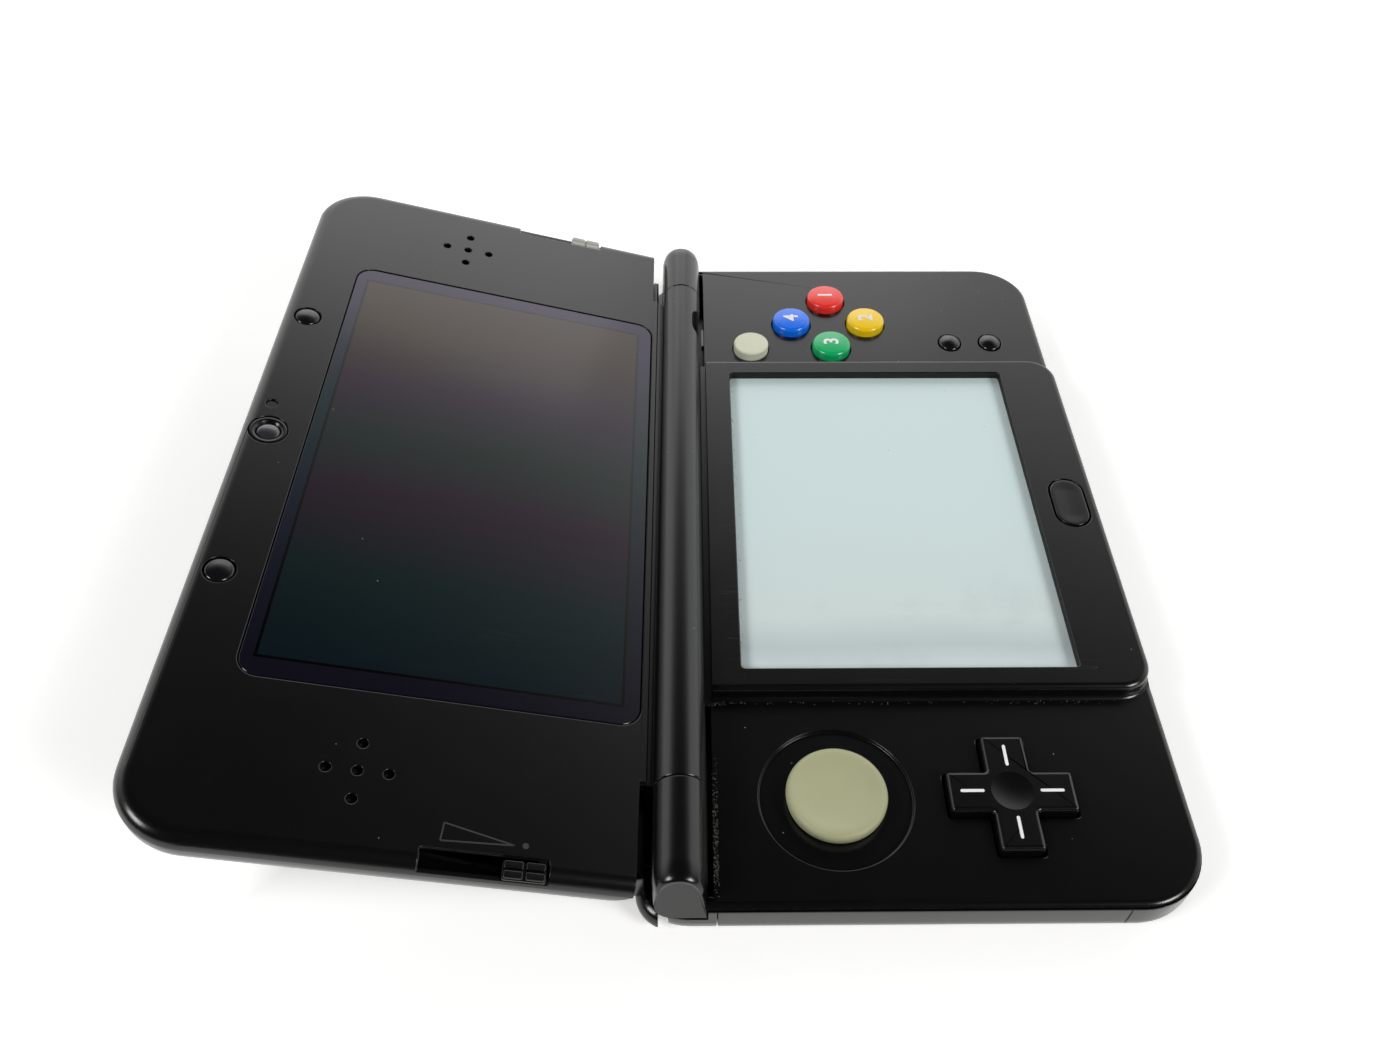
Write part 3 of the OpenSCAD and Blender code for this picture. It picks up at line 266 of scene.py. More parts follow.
def addLamp(name, place, size, power):
    lampData = bpy.data.lights.new(name, "AREA")
    lampData.size = size
    lampData.energy = power
    lamp = bpy.data.objects.new(name, lampData)
    lamp.location = place
    aim = Vector((0, 0.02, 0)) - Vector(place)
    lamp.rotation_euler = aim.to_track_quat("-Z", "Y").to_euler()
    bpy.context.scene.collection.objects.link(lamp)


for lamp in studio["lamps"]:
    addLamp(*lamp)


def makeRoom():
    # pale walls under a dark ceiling
    world = bpy.data.worlds.new("studio")
    room = Paint("studio", world)
    across, _, height = room.axes()
    brightest = max(value for _, value in studio["room"])
    stops = [(level, (value / brightest,) * 3) for level, value in studio["room"]]
    values = {"Value": across, "From Min": -0.3, "From Max": 0.5, "To Max": brightest,
              "To Min": brightest * studio["dimSide"]}
    room.set(Color=room.node("ShaderNodeValToRGB", {"stops": stops}, {"Fac": height}))
    room.set(Strength=room.node("ShaderNodeMapRange", {"interpolation_type": "SMOOTHSTEP"}, values))
    bpy.context.scene.world = world
    bpy.context.scene.view_settings.view_transform = "Standard"


makeRoom()
print("camera and light set")


# materials


black = (0.0032, 0.0033, 0.0037)
dustGrey = (0.16, 0.155, 0.14)


def shaded(colour, share):
    return tuple(min(1, part * share) for part in colour)


def satinBlack():
    # moulded shell: fine spark grain, faint hand grease, a few dust grains
    paint = Paint("satinBlack")
    grain = paint.noise(5200, 2)
    grease = paint.noise(30, 1, 0.4).step(0.30, 0.80)
    dust = paint.specks(330, 0.035) * (paint.noise(38, 2) > 0.5)
    film = paint.noise(120, 4, 0.7).step(0.45, 0.8) * 0.02
    tone = paint.mix(film, black, (0.05, 0.052, 0.055))
    paint.colour(dust, tone, dustGrey)
    paint.set(Roughness=0.20 + grain * 0.06 - grease * 0.02 + dust * 0.3)
    return paint.bump(grain, 0.000012, 0.55).material


def polishedBlack():
    # the centre panel and small controls: glossier, finely scuffed
    paint = Paint("polishedBlack")
    grain = paint.noise(4200, 2)
    scuffs = paint.scratches(500, 0.4, 0.0015)
    dust = paint.specks(280, 0.03, 0.2) * (paint.noise(45, 2) > 0.54)
    paint.colour(dust.most(scuffs * 0.1), black, dustGrey)
    paint.set(Roughness=0.20 + paint.noise(70, 3) * 0.08 + scuffs * 0.2)
    return paint.bump(grain, 0.000006, 0.4).material


def glossBlack():
    paint = Paint("glossBlack")
    marks = paint.scratches(1400, 0.9, 0.012)
    paint.set(BaseColor=(0.006, 0.006, 0.007))
    paint.set(Roughness=0.13 + paint.noise(160, 3) * 0.12 + marks * 0.25)
    return paint.bump(paint.noise(900, 2), 0.000006, 0.3).material


def shadeBlack():
    # painted shade: matt near-black that stands in for the unlit inside of slots and holes
    paint = Paint("shadeBlack")
    paint.set(BaseColor=(0.003, 0.003, 0.003), Roughness=0.7 + paint.noise(900) * 0.1)
    return paint.material


def screenWindow():
    # dark glossy window over the unlit picture, with wiping marks and dust; the bands of colour
    # over border and picture are painted tinted reflection
    paint = Paint("screenWindow").onLidPlane()
    x, v, _ = paint.axes()
    middle = onLid("upper_display").y * mm
    beyond = (x.size() - pictureHalf[0] * mm).most((v - middle).size() - pictureHalf[1] * mm)
    border = beyond.step(-0.0001, 0.0001)
    run = (x + 0.046) * 10.87          # 0 at the player's left end, 1 at the right end
    swirl = (paint.noise(9, 1) - 0.5) * 0.3
    # painted reflection: the coating's tinted reflection laid into the picture's near-black, blue,
    # green and purple bands turning brown and brighter towards the player's right end
    tintedReflectionStops = (
        (0.00, (0.0030, 0.0070, 0.0110)), (0.20, (0.0030, 0.0110, 0.0120)),
        (0.36, (0.0150, 0.0045, 0.0140)), (0.50, (0.0050, 0.0150, 0.0120)),
        (0.66, (0.0190, 0.0080, 0.0210)), (0.82, (0.0340, 0.0180, 0.0090)),
        (1.00, (0.0420, 0.0270, 0.0140)),
    )
    pictureAndReflection = paint.node("ShaderNodeValToRGB", {"stops": tintedReflectionStops}, {"Fac": run + swirl})
    # painted reflection: the same tinted reflection on the border, purple and teal, brighter
    # towards the player's right end
    borderTintedReflectionStops = (
        (0.0, (0.0050, 0.0040, 0.0090)), (0.35, (0.0050, 0.0080, 0.0180)),
        (0.6, (0.0040, 0.0170, 0.0200)), (1.0, (0.0260, 0.0120, 0.0480)),
    )
    borderReflectionTint = paint.node("ShaderNodeValToRGB", {"stops": borderTintedReflectionStops}, {"Fac": run})
    wiped = paint.noise(60, 4, 0.7, paint.shifted(turn=(0, 0, 0.5), scale=(1, 0.25, 1)))
    smear = wiped.step(0.52, 0.78) * paint.noise(14, 1).step(0.45, 0.6) * 0.012
    lines = paint.scratches(420, 0.55, 0.0012) * (paint.noise(22, 1) > 0.56)
    dust = paint.specks(420, 0.04) * (paint.noise(50, 2) > 0.58)
    frameLine = (beyond - 0.00022).size() < 0.00022
    marks = (dust * 0.6).most(lines * 0.08).most(smear) * (1 - frameLine)
    tone = paint.mix(frameLine, paint.mix(border, pictureAndReflection, borderReflectionTint), (0.0, 0.0, 0.0))
    paint.colour(marks, tone, (0.42, 0.40, 0.38))
    paint.set(Roughness=0.10 + smear * 2.5 + dust * 0.5 + wiped * 0.05)
    return paint.material


def touchFilm():
    # pale matt film over the unlit lower picture, smudged towards the player's left
    paint = Paint("touchFilm")
    x, _, _ = paint.axes()
    run = (x + 0.0345) * 14.5
    stops = (
        (0.00, (0.66, 0.76, 0.76)), (0.07, (0.54, 0.62, 0.62)), (0.16, (0.66, 0.76, 0.74)),
        (0.45, (0.66, 0.79, 0.79)), (1.00, (0.67, 0.80, 0.80)),
    )
    sheen = paint.node("ShaderNodeValToRGB", {"stops": stops},
                       {"Fac": run + (paint.noise(34, 2) - 0.5) * 0.10})
    grease = paint.noise(75, 4, 0.65).step(0.48, 0.75) * (1 - run.step(0.05, 0.4)) * 0.30
    dirt = paint.specks(300, 0.03) * (paint.noise(60, 2) > 0.56)
    tone = paint.mix(grease, sheen, (0.42, 0.47, 0.49))
    paint.colour(dirt, tone, (0.45, 0.30, 0.12))
    paint.set(Roughness=0.32 + paint.noise(70, 3) * 0.12)
    return paint.material


def softTouchGrey(name, colour):
    # warm grey moulded caps with a fine tooth
    paint = Paint(name)
    grain = paint.noise(3600, 3, 0.6)
    wear = paint.noise(140, 3).step(0.45, 0.75) * 0.25
    paint.colour(wear, colour, shaded(colour, 0.8))
    paint.set(Roughness=0.42 + grain * 0.16)
    return paint.bump(grain, 0.000025, 0.5).material


def candyPlastic(name, colour):
    # glossy coloured button caps, mottled a little by handling
    paint = Paint(name)
    mottled = paint.noise(420, 3) * 0.3
    paint.colour(mottled, colour, shaded(colour, 0.72))
    paint.set(Roughness=0.20 + paint.noise(300, 3) * 0.12, CoatWeight=0.2, CoatRoughness=0.08)
    return paint.bump(paint.noise(1500, 2), 0.000006, 0.3).material


def plainMoulding(name, colour, rough):
    paint = Paint(name)
    grain = paint.noise(3000, 2)
    handled = paint.noise(90, 3).step(0.4, 0.7) * 0.5
    paint.colour(handled, colour, shaded(colour, 1.35))
    paint.set(Roughness=rough + grain * 0.12)
    return paint.bump(grain, 0.00001, 0.4).material


def sheetMetal():
    paint = Paint("sheetMetal")
    brushed = paint.noise(2600, 2, 0.5, paint.shifted(scale=(1, 0.06, 1)))
    paint.colour(brushed, (0.52, 0.52, 0.53), (0.62, 0.61, 0.60))
    paint.set(Metallic=1.0, Roughness=0.26 + brushed * 0.16)
    return paint.bump(brushed, 0.000006, 0.4).material


def printedBoard():
    # solder mask over copper runs on a half-millimetre grid
    paint = Paint("printedBoard")
    runs = paint.node("ShaderNodeTexBrick", {"offset": 0.35},
                      {"Vector": paint.place, "Scale": 180.0, "Mortar Size": 0.05}, "Fac")
    pads = paint.specks(420, 0.16)
    mask = paint.mix(runs, (0.006, 0.060, 0.028), (0.012, 0.105, 0.050))
    paint.colour(pads, mask, (0.60, 0.45, 0.20))
    paint.set(Roughness=0.35 + runs * 0.15, Metallic=pads)
    return paint.bump(runs, 0.00003, 0.6).material


def clearLens(name, colour):
    paint = Paint(name)
    paint.colour(paint.noise(700, 2), colour, shaded(colour, 0.7))
    paint.set(Roughness=0.08 + paint.noise(500) * 0.06, CoatWeight=0.5)
    return paint.material


def paleFloor():
    # glows a little, except where the console stands
    paint = Paint("paleFloor")
    x, y, _ = paint.axes()
    beside = (x.size() - halfBody[0] * mm).most(((y - halfBody[2] * mm).size() - halfBody[1] * mm))
    paint.colour(paint.noise(90, 3), (0.88, 0.88, 0.87), (0.92, 0.92, 0.91))
    paint.set(EmissionColor=paint.mix(beside.step(-0.012, 0.0), (0, 0, 0), (1.0, 0.99, 0.97)))
    paint.set(Roughness=0.62 + paint.noise(300) * 0.1, EmissionStrength=studio["floorGlow"])
    return paint.material


def crumbs():
    paint = Paint("crumbs")
    paint.colour(paint.noise(900, 2), (0.07, 0.07, 0.066), (0.24, 0.225, 0.18))
    paint.set(Roughness=0.8 + paint.noise(900) * 0.1)
    return paint.material


finish = {
    "satin": satinBlack(), "polished": polishedBlack(), "gloss": glossBlack(),
    "deep": shadeBlack(), "window": screenWindow(), "film": touchFilm(),
    "metal": sheetMetal(), "board": printedBoard(), "crumb": crumbs(), "floor": paleFloor(),
}
makers = (
    (softTouchGrey, {"padGrey": (0.42, 0.425, 0.25), "nubGrey": (0.70, 0.72, 0.55),
                     "knobGrey": (0.42, 0.43, 0.38)}),
    (candyPlastic, {"red": (0.95, 0.042, 0.030), "yellow": (1.0, 0.66, 0.006),
                    "green": (0.006, 0.48, 0.150), "blue": (0.006, 0.180, 0.95)}),
    (clearLens, {"clear": (0.62, 0.66, 0.64), "darkLens": (0.020, 0.006, 0.008),
                 "cameraGlass": (0.035, 0.035, 0.042)}),
)
for maker, colours in makers:
    finish.update((name, maker(name, colour)) for name, colour in colours.items())
mouldings = {   # colour, roughness
    "print": ((0.86, 0.87, 0.86), 0.4), "etch": ((0.024, 0.026, 0.026), 0.45),
    "rubber": ((0.045, 0.046, 0.048), 0.65), "inner": ((0.030, 0.031, 0.033), 0.5),
    "module": ((0.10, 0.105, 0.11), 0.35), "cell": ((0.11, 0.12, 0.14), 0.45),
    "flex": ((0.40, 0.17, 0.03), 0.35), "carrier": ((0.62, 0.62, 0.58), 0.4),
}
finish.update((name, plainMoulding(name, *look)) for name, look in mouldings.items())
print("materials made:", len(finish))

floorMesh = bpy.data.meshes.new("floor")
half = studio["floorHalf"]
corners = [(-half, -half, 0), (half, -half, 0), (half, half, 0), (-half, half, 0)]
floorMesh.from_pydata(corners, [], [(0, 1, 2, 3)])
floorMesh.materials.append(finish["floor"])
floor = bpy.data.objects.new("floor", floorMesh)
floor.location.z = -0.00002
bpy.context.scene.collection.objects.link(floor)


# mesh making, in millimetres until a piece is placed


def arc(x, y, radius, start, end, steps):
    angles = [math.radians(start + (end - start) * i / steps) for i in range(steps + 1)]
    return [(x + radius * math.cos(a), y + radius * math.sin(a)) for a in angles]


def outline(low, high, radii, inset=0.0, steps=14):
    # rounded box seen from above; radii go round from the +x +y corner
    points = []
    ends = ((1, 1, 0), (-1, 1, 90), (-1, -1, 180), (1, -1, 270))
    for (sideX, sideY, start), radius in zip(ends, radii):
        if not radius:
            points.append((high[0] - inset if sideX > 0 else low[0] + inset,
                           high[1] - inset if sideY > 0 else low[1] + inset))
            continue
        r = max(radius - inset, 0.02)
        x = (high[0] if sideX > 0 else low[0]) - sideX * (r + inset)
        y = (high[1] if sideY > 0 else low[1]) - sideY * (r + inset)
        points += arc(x, y, r, start, start + 90, steps)
    return points


def smoothRun(points, steps=6):
    # Catmull-Rom curve through the points
    run = []
    for i in range(len(points) - 1):
        a, b, c, d = (Vector(points[min(max(i + k, 0), len(points) - 1)]) for k in (-1, 0, 1, 2))
        for k in range(steps):
            t = k / steps
            run.append(tuple(0.5 * ((2 * b) + (c - a) * t + (2 * a - 5 * b + 4 * c - d) * t * t
                                    + (3 * b - a - 3 * c + d) * t ** 3)))
    return run + [tuple(points[-1])]


def loft(rings):
    # closed body through rings that have the same number of points
    made = bmesh.new()
    rows = [[made.verts.new(point) for point in ring] for ring in rings]
    count = len(rows[0])
    for lower, upper in zip(rows, rows[1:]):
        for i in range(count):
            j = (i + 1) % count
            made.faces.new((lower[i], lower[j], upper[j], upper[i]))
    made.faces.new(reversed(rows[0]))
    made.faces.new(rows[-1])
    bmesh.ops.recalc_face_normals(made, faces=made.faces)
    return made


def slab(low, high, radii, profile, steps=14):
    # profile: (inset, height) from the underside up
    return loft([[(x, y, z) for x, y in outline(low, high, radii, inset, steps)]
                 for inset, z in profile])


def prism(points, bottom, top):
    return loft([[(x, y, z) for x, y in points] for z in (bottom, top)])


def rimOf(r, top, steps):
    # rounded upper edge, as (inset, height)
    return [(r - x, top - r + z) for x, z in arc(0, 0, r, 0, 90, steps)]


def footOf(r, bottom, steps):
    # rounded lower edge, as (inset, height)
    return [(r - x, bottom + r - z) for x, z in reversed(arc(0, 0, r, 0, 90, steps))]


def block(xs, ys, zs):
    # plain box from its spans along x, y and z
    return prism([(xs[0], ys[0]), (xs[1], ys[0]), (xs[1], ys[1]), (xs[0], ys[1])], *zs)


def plate(at, half, radius, profile, steps=14):
    # slab with equal corners round a middle point
    low, high = ((at[0] + side * half[0], at[1] + side * half[1]) for side in (-1, 1))
    return slab(low, high, [radius] * 4, profile, steps)


def lathe(profile, steps=64):
    # turned body; the profile runs from the axis at the bottom to the axis at the top
    made = bmesh.new()
    rows = []
    for radius, z in profile:
        if radius < 1e-6:
            rows.append([made.verts.new((0, 0, z))])
        else:
            ring = arc(0, 0, radius, 0, 360, steps)[:-1]
            rows.append([made.verts.new((x, y, z)) for x, y in ring])
    for lower, upper in zip(rows, rows[1:]):
        for i in range(steps):
            j = (i + 1) % steps
            corners = [lower[i % len(lower)], lower[j % len(lower)],
                       upper[j % len(upper)], upper[i % len(upper)]]
            made.faces.new(list(dict.fromkeys(corners)))
    bmesh.ops.recalc_face_normals(made, faces=made.faces)
    return made


def rod(radius, start, end, axis, at=(0, 0, 0), steps=64):
    # plain round bar along x, y or z
    made = prism(arc(0, 0, radius, 0, 360, steps)[:-1], start, end)
    turn = {"X": Matrix.Rotation(math.pi / 2, 4, "Y"), "Z": Matrix.Identity(4),
            "Y": Matrix.Rotation(-math.pi / 2, 4, "X")}[axis]
    made.transform(Matrix.Translation(at) @ turn)
    return made


def moved(made, offset=(0, 0, 0), turn=None):
    made.transform(Matrix.Translation(offset) @ (turn or Matrix.Identity(4)))
    return made


def piece(name, made):
    mesh = bpy.data.meshes.new(name)
    made.to_mesh(mesh)
    made.free()
    thing = bpy.data.objects.new(name, mesh)
    bpy.context.scene.collection.objects.link(thing)
    return thing


def turned(name, run, at=(0, 0, 0), steps=64, turn=None):
    return piece(name, moved(lathe(run, steps), at, turn))


def settle(thing):
    # modifiers become plain mesh
    graph = bpy.context.evaluated_depsgraph_get()
    mesh = bpy.data.meshes.new_from_object(thing.evaluated_get(graph))
    old = thing.data
    thing.modifiers.clear()
    thing.data = mesh
    bpy.data.meshes.remove(old)
    return thing


def carve(thing, tools, operation="DIFFERENCE"):
    for made in tools:
        tool = made if isinstance(made, bpy.types.Object) else piece("tool", made)
        modifier = thing.modifiers.new("carve", "BOOLEAN")
        modifier.operation = operation
        modifier.object = tool
        modifier.solver = "EXACT"
        settle(thing)
        bpy.data.objects.remove(tool)
    return thing


broadFace = {"area": 3, "perBorder": 0.3}    # square millimetres; area for each mm of border


def soften(thing, width, segments=3, angle=32):
    # small rounded edges that catch the light
    mesh = thing.data
    mesh.polygons.foreach_set("use_smooth", [True] * len(mesh.polygons))
    if width:
        bevel = thing.modifiers.new("edges", "BEVEL")
        bevel.width = width
        bevel.segments = segments
        bevel.limit_method = "ANGLE"
        bevel.angle_limit = math.radians(angle)
        bevel.use_clamp_overlap = False
        bevel.miter_outer = "MITER_ARC"
        settle(thing)
    else:
        mesh.set_sharp_from_angle(angle=math.radians(45))
    for polygon in thing.data.polygons:
        # broad flat faces take no shading from their neighbours
        corners = [thing.data.vertices[i].co for i in polygon.vertices]
        border = sum((a - b).length for a, b in zip(corners, corners[1:] + corners[:1]))
        level = polygon.normal.z > 0.9999 and polygon.area > broadFace["perBorder"] * border
        if polygon.area > broadFace["area"] and (level or len(corners) > 4):
            polygon.use_smooth = False
    normals = thing.modifiers.new("normals", "WEIGHTED_NORMAL")
    normals.keep_sharp = True
    return settle(thing)


lidBodies = ("lid", "volume_knob", "depth_knob")


def place(thing, body, slotName, look, *replaced):
    # millimetres to metres, into the lid's frame if it belongs there, and onto its body
    toMetres = Matrix.Scale(mm, 4)
    thing.data.transform(toMetres @ lidPlace if body in lidBodies else toMetres)
    thing.data.materials.clear()
    thing.data.materials.append(finish[look])
    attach(thing, body)
    if replaced:
        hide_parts(*replaced)


def joined(name, things):
    # several meshes as one
    made = bmesh.new()
    for thing in things:
        made.from_mesh(thing.data)
        bpy.data.objects.remove(thing)
    return piece(name, made)


def repeatTree():
    # stands a shape on every vertex of the input, sized and turned at random
    tree = bpy.data.node_groups.new("shapeOnSpots", "GeometryNodeTree")
    maker, given = Nodes(tree), {}
    for name, kind in (("Spots", "Geometry"), ("Shape", "Object"), ("Smallest", "Float"),
                       ("Largest", "Float"), ("Turn", "Float"), ("Seed", "Int"),
                       ("Finish", "Material")):
        tree.interface.new_socket(name, in_out="INPUT", socket_type="NodeSocket" + kind)
        given[name] = maker.node("NodeGroupInput", {}, {}, name)
    tree.interface.new_socket("Result", in_out="OUTPUT", socket_type="NodeSocketGeometry")

    def drawn(kind, low, high, inputs, output):
        values = {inputs[0]: low, inputs[1]: high, "Seed": given["Seed"]}
        return maker.node("FunctionNodeRandomValue", {"data_type": kind}, values, output)

    shape = maker.node("GeometryNodeObjectInfo", {}, {"Object": given["Shape"]}, "Geometry")
    scale = drawn("FLOAT", given["Smallest"], given["Largest"], (2, 3), 1)
    most = maker.node("ShaderNodeCombineXYZ", {}, {name: given["Turn"] for name in "XYZ"})
    least = maker.node("ShaderNodeVectorMath", {"operation": "MULTIPLY"},
                       {0: most, 1: (-1, -1, -1)})
    turn = drawn("FLOAT_VECTOR", least, most, (0, 1), 0)
    stood = maker.node("GeometryNodeInstanceOnPoints", {}, {
        "Points": given["Spots"], "Instance": shape, "Rotation": turn, "Scale": scale})
    real = maker.node("GeometryNodeRealizeInstances", {}, {"Geometry": stood})
    done = maker.node("GeometryNodeSetMaterial", {}, {"Geometry": real,
                                                      "Material": given["Finish"]})
    maker.feed(tree.nodes.new("NodeGroupOutput").inputs["Result"], done)
    return tree


spotsTree = repeatTree()


def repeat(name, shape, spots, material=None, smallest=1.0, largest=1.0, turn=0.0, seed=0):
    model = piece("model", shape)
    mesh = bpy.data.meshes.new(name)
    mesh.from_pydata(spots, [], [])
    thing = bpy.data.objects.new(name, mesh)
    bpy.context.scene.collection.objects.link(thing)
    modifier = thing.modifiers.new("repeat", "NODES")
    modifier.node_group = spotsTree
    values = {"Shape": model, "Smallest": smallest, "Largest": largest, "Turn": turn,
              "Seed": seed, "Finish": material}
    for item in spotsTree.interface.items_tree:
        if item.in_out == "INPUT" and item.name in values:
            modifier[item.identifier] = values[item.name]
    settle(thing)
    bpy.data.objects.remove(model)
    return thing


# sizes that several pieces share

deckHigh = sizeOf("base_upper_shell")[1]
panelLow, panelHigh = sizeOf("touch_bezel")
filmHigh = sizeOf("touch_digitizer")[1]
barrelLow, barrelHigh = sizeOf("hinge_barrel")
halfWidth, halfDepth = deckHigh.x, deckHigh.y
base = {
    "cornerRadius": 10.0,
    "bottomRound": 4.5,
    "wall": 2.3,
    "floorRound": 1.2,                  # where the walls meet the floor inside
    "deck": panelLow.z,                 # height of the control areas
    "split": sizeOf("base_lower_shell")[1].z + 0.1,
    "troughRadius": hingeY - panelHigh.y - 0.02,
    "slotFront": 27.2,                  # the deck ends here beside the knuckles
    "postFoot": 5.8,                    # the knuckles' end faces reach down to here
}
base["seam"] = base["split"] + 0.6      # the two shells meet on the deck's rounded edge
barrelRadius = barrelHigh.z - hingeZ
pastSide, pastBack = halfWidth + 2, halfDepth + 2
deckCut = (5, 12)                       # heights between which the deck is cut through
hands = (("left", -1), ("right", 1))
cap = {name: middleOf(name) for name in (
    "circle_pad", "dpad", "nub_stick", "red_button", "yellow_button", "green_button",
    "blue_button", "select_button", "start_button", "home_button", "power_button")}


def spot(node):
    # where a control stands, seen from above
    return cap[node].x, cap[node].y, 0


def shoulderBay(node, side):
    # from the button's inner end to past the side
    return between(side, min(abs(corner.x) for corner in sizeOf(node)) - 0.25, pastSide)


def bodyLoft(inset, profile):
    low = (-halfWidth + inset, -halfDepth + inset)
    high = (halfWidth - inset, halfDepth - inset)
    radii = [base["cornerRadius"] - inset] * 4
    return slab(low, high, radii, profile)


def trough(end=pastSide):
    return rod(base["troughRadius"], -end, end, "X", (0, hingeY, hingeZ), 96)


# base: deck with the two knuckles

deck = {
    "edge": 0.16,
    "dishRadius": 11.0,
    "dishDepth": 0.6,
    "stemHole": 4.3,
    "crossSpan": 18.6,
    "crossArm": 6.9,
    "roundGap": 0.2,
    "holes": {"red_button": 3.75, "yellow_button": 3.75, "green_button": 3.75,
              "blue_button": 3.75, "nub_stick": 3.4, "select_button": 2.1, "start_button": 2.1},
    "menuStretch": 1.12,
    "knuckleEnd": 4.2,
    "knuckleDrop": 1.2,
    "knuckleDraft": 0.13,               # lean of the end face
    "leftSeam": barrelLow.x - 0.1,
    "rightSeam": barrelHigh.x + 0.02,
}


def knuckle(x0, side):
    # one knuckle from its inner end to its rounded outer end, with a flat foot into the deck
    top = arc(0, 0, barrelRadius, 0, 180, 28)
    foot = base["postFoot"] - hingeZ
    heel = 3.4
    section = [(y, z) for y, z in top] + [(-barrelRadius, foot)] + arc(
        barrelRadius - heel, foot + heel, heel, 270, 360, 8)
    outer = side * (halfWidth - 0.1)
    rings = []
    ends = [(x0, 0.0)] + [
        (outer - side * deck["knuckleEnd"] * (1 - math.sin(a)), 1 - math.cos(a))
        for a in (math.radians(7.5 * i) for i in range(13))]
    for x, share in ends:
        ring = []
        for y, z in section:
            rounding = deck["knuckleDrop"] * min(1.0, max(0.0, (z + hingeZ - 7.0) / 4.5))
            keep = 1 - share * rounding / barrelRadius
            slant = side * share * deck["knuckleDraft"] * (z - foot)
            ring.append((x - slant, hingeY + y * keep, hingeZ + (z * keep if z > 0 else z)))
        rings.append(ring)
    return loft(rings)


def crossOutline(span, arm, corner=0.5, steps=5):
    s, a = span / 2, arm / 2
    quarter = arc(s - corner, a - corner, corner, 0, 90, steps)
    quarter += arc(a + corner, a + corner, corner, 270, 180, steps)
    quarter += arc(a - corner, s - corner, corner, 0, 90, steps)
    points = []
    for turn in range(4):
        c, q = math.cos(math.pi / 2 * turn), math.sin(math.pi / 2 * turn)
        points += [(x * c - y * q, x * q + y * c) for x, y in quarter]
    clean = [points[0]]
    for point in points[1:]:
        if math.dist(point, clean[-1]) > 1e-3:
            clean.append(point)
    return clean if math.dist(clean[0], clean[-1]) > 1e-3 else clean[:-1]


def makeDeck():
    edge = base["deck"] - base["split"]
    start = math.degrees(math.asin((base["seam"] - base["split"]) / edge))
    profile = [(1.2, base["split"] - 0.6), (1.2, base["seam"])] + [
        (edge - r, base["split"] + z) for r, z in arc(0, 0, edge, start, 90, 9)]
    top = piece("deckShell", bodyLoft(0, profile))
    carve(top, [bodyLoft(base["wall"], [(0, 5), (0, base["deck"] - 1.4)])])
    film, pad = "touch_digitizer", spot("circle_pad")
    cross = prism(crossOutline(deck["crossSpan"], deck["crossArm"]), *deckCut)
    tools = [block(grown(film, "x", 1.5), grown(film, "y", 1.5), deckCut),
             rod(deck["dishRadius"], base["deck"] - deck["dishDepth"], 12, "Z", pad, 96),
             rod(deck["stemHole"], *deckCut, "Z", pad),
             moved(cross, spot("dpad"))]
    for node, radius in deck["holes"].items():
        oval = Matrix.Diagonal((deck["menuStretch"] if radius < 3 else 1, 1, 1, 1))
        tools.append(moved(rod(radius + deck["roundGap"], *deckCut, "Z"), spot(node), oval))
    # the trough under the barrel, and the open slots in front of and behind the knuckles
    tools.append(trough(halfWidth - 1.2))
    floorZ = hingeZ - base["troughRadius"] + 0.3
    inner, outer = panelHigh.x + 1.2, halfWidth - 1.2
    for _, side in hands:
        tools += [block(between(side, inner, outer), (base["slotFront"], hingeY), deckCut),
                  block(between(side, inner, pastSide), (hingeY, 35.3), (floorZ, 12)),
                  block(between(side, halfWidth - 3, pastSide),
                        (hingeY - barrelRadius + 0.4, 36.0), deckCut)]
    for hand, side in hands:
        node = hand + "_shoulder_button"
        tools.append(block(shoulderBay(node, side), (grown(node, "y", 1.1)[0], pastBack), (2, 12)))
    for hand, _ in hands:
        node = hand + "_rear_trigger"
        tools.append(block(grown(node, "x", 0.25), (grown(node, "y", 0.8)[0], pastBack), (2, 7.3)))
    carve(top, tools)
    soften(top, deck["edge"])
    posts = [piece("tool", knuckle(deck[hand + "Seam"], side)) for hand, side in hands]
    for post in posts:
        carve(post, [bodyLoft(base["wall"] + 0.4, [(0, 0), (0, 6.6)])])
        soften(post, 0.18)
    place(joined("deckShell", [top] + posts), "base", "shell", "satin", "base_upper_shell")


makeDeck()
print("deck and knuckles made")


# base: raised centre panel round the touch screen

panel = {
    "frontRadius": 5.0,
    "topRound": 0.95,
    "foot": 0.9,
    "slot": 0.55,                       # extra room between panel and barrel
    "aperture": (34.15, 25.8),
    "apertureCorner": 0.7,
    "homeSize": (5.3, 2.8),
    "homeGap": 0.3,
}


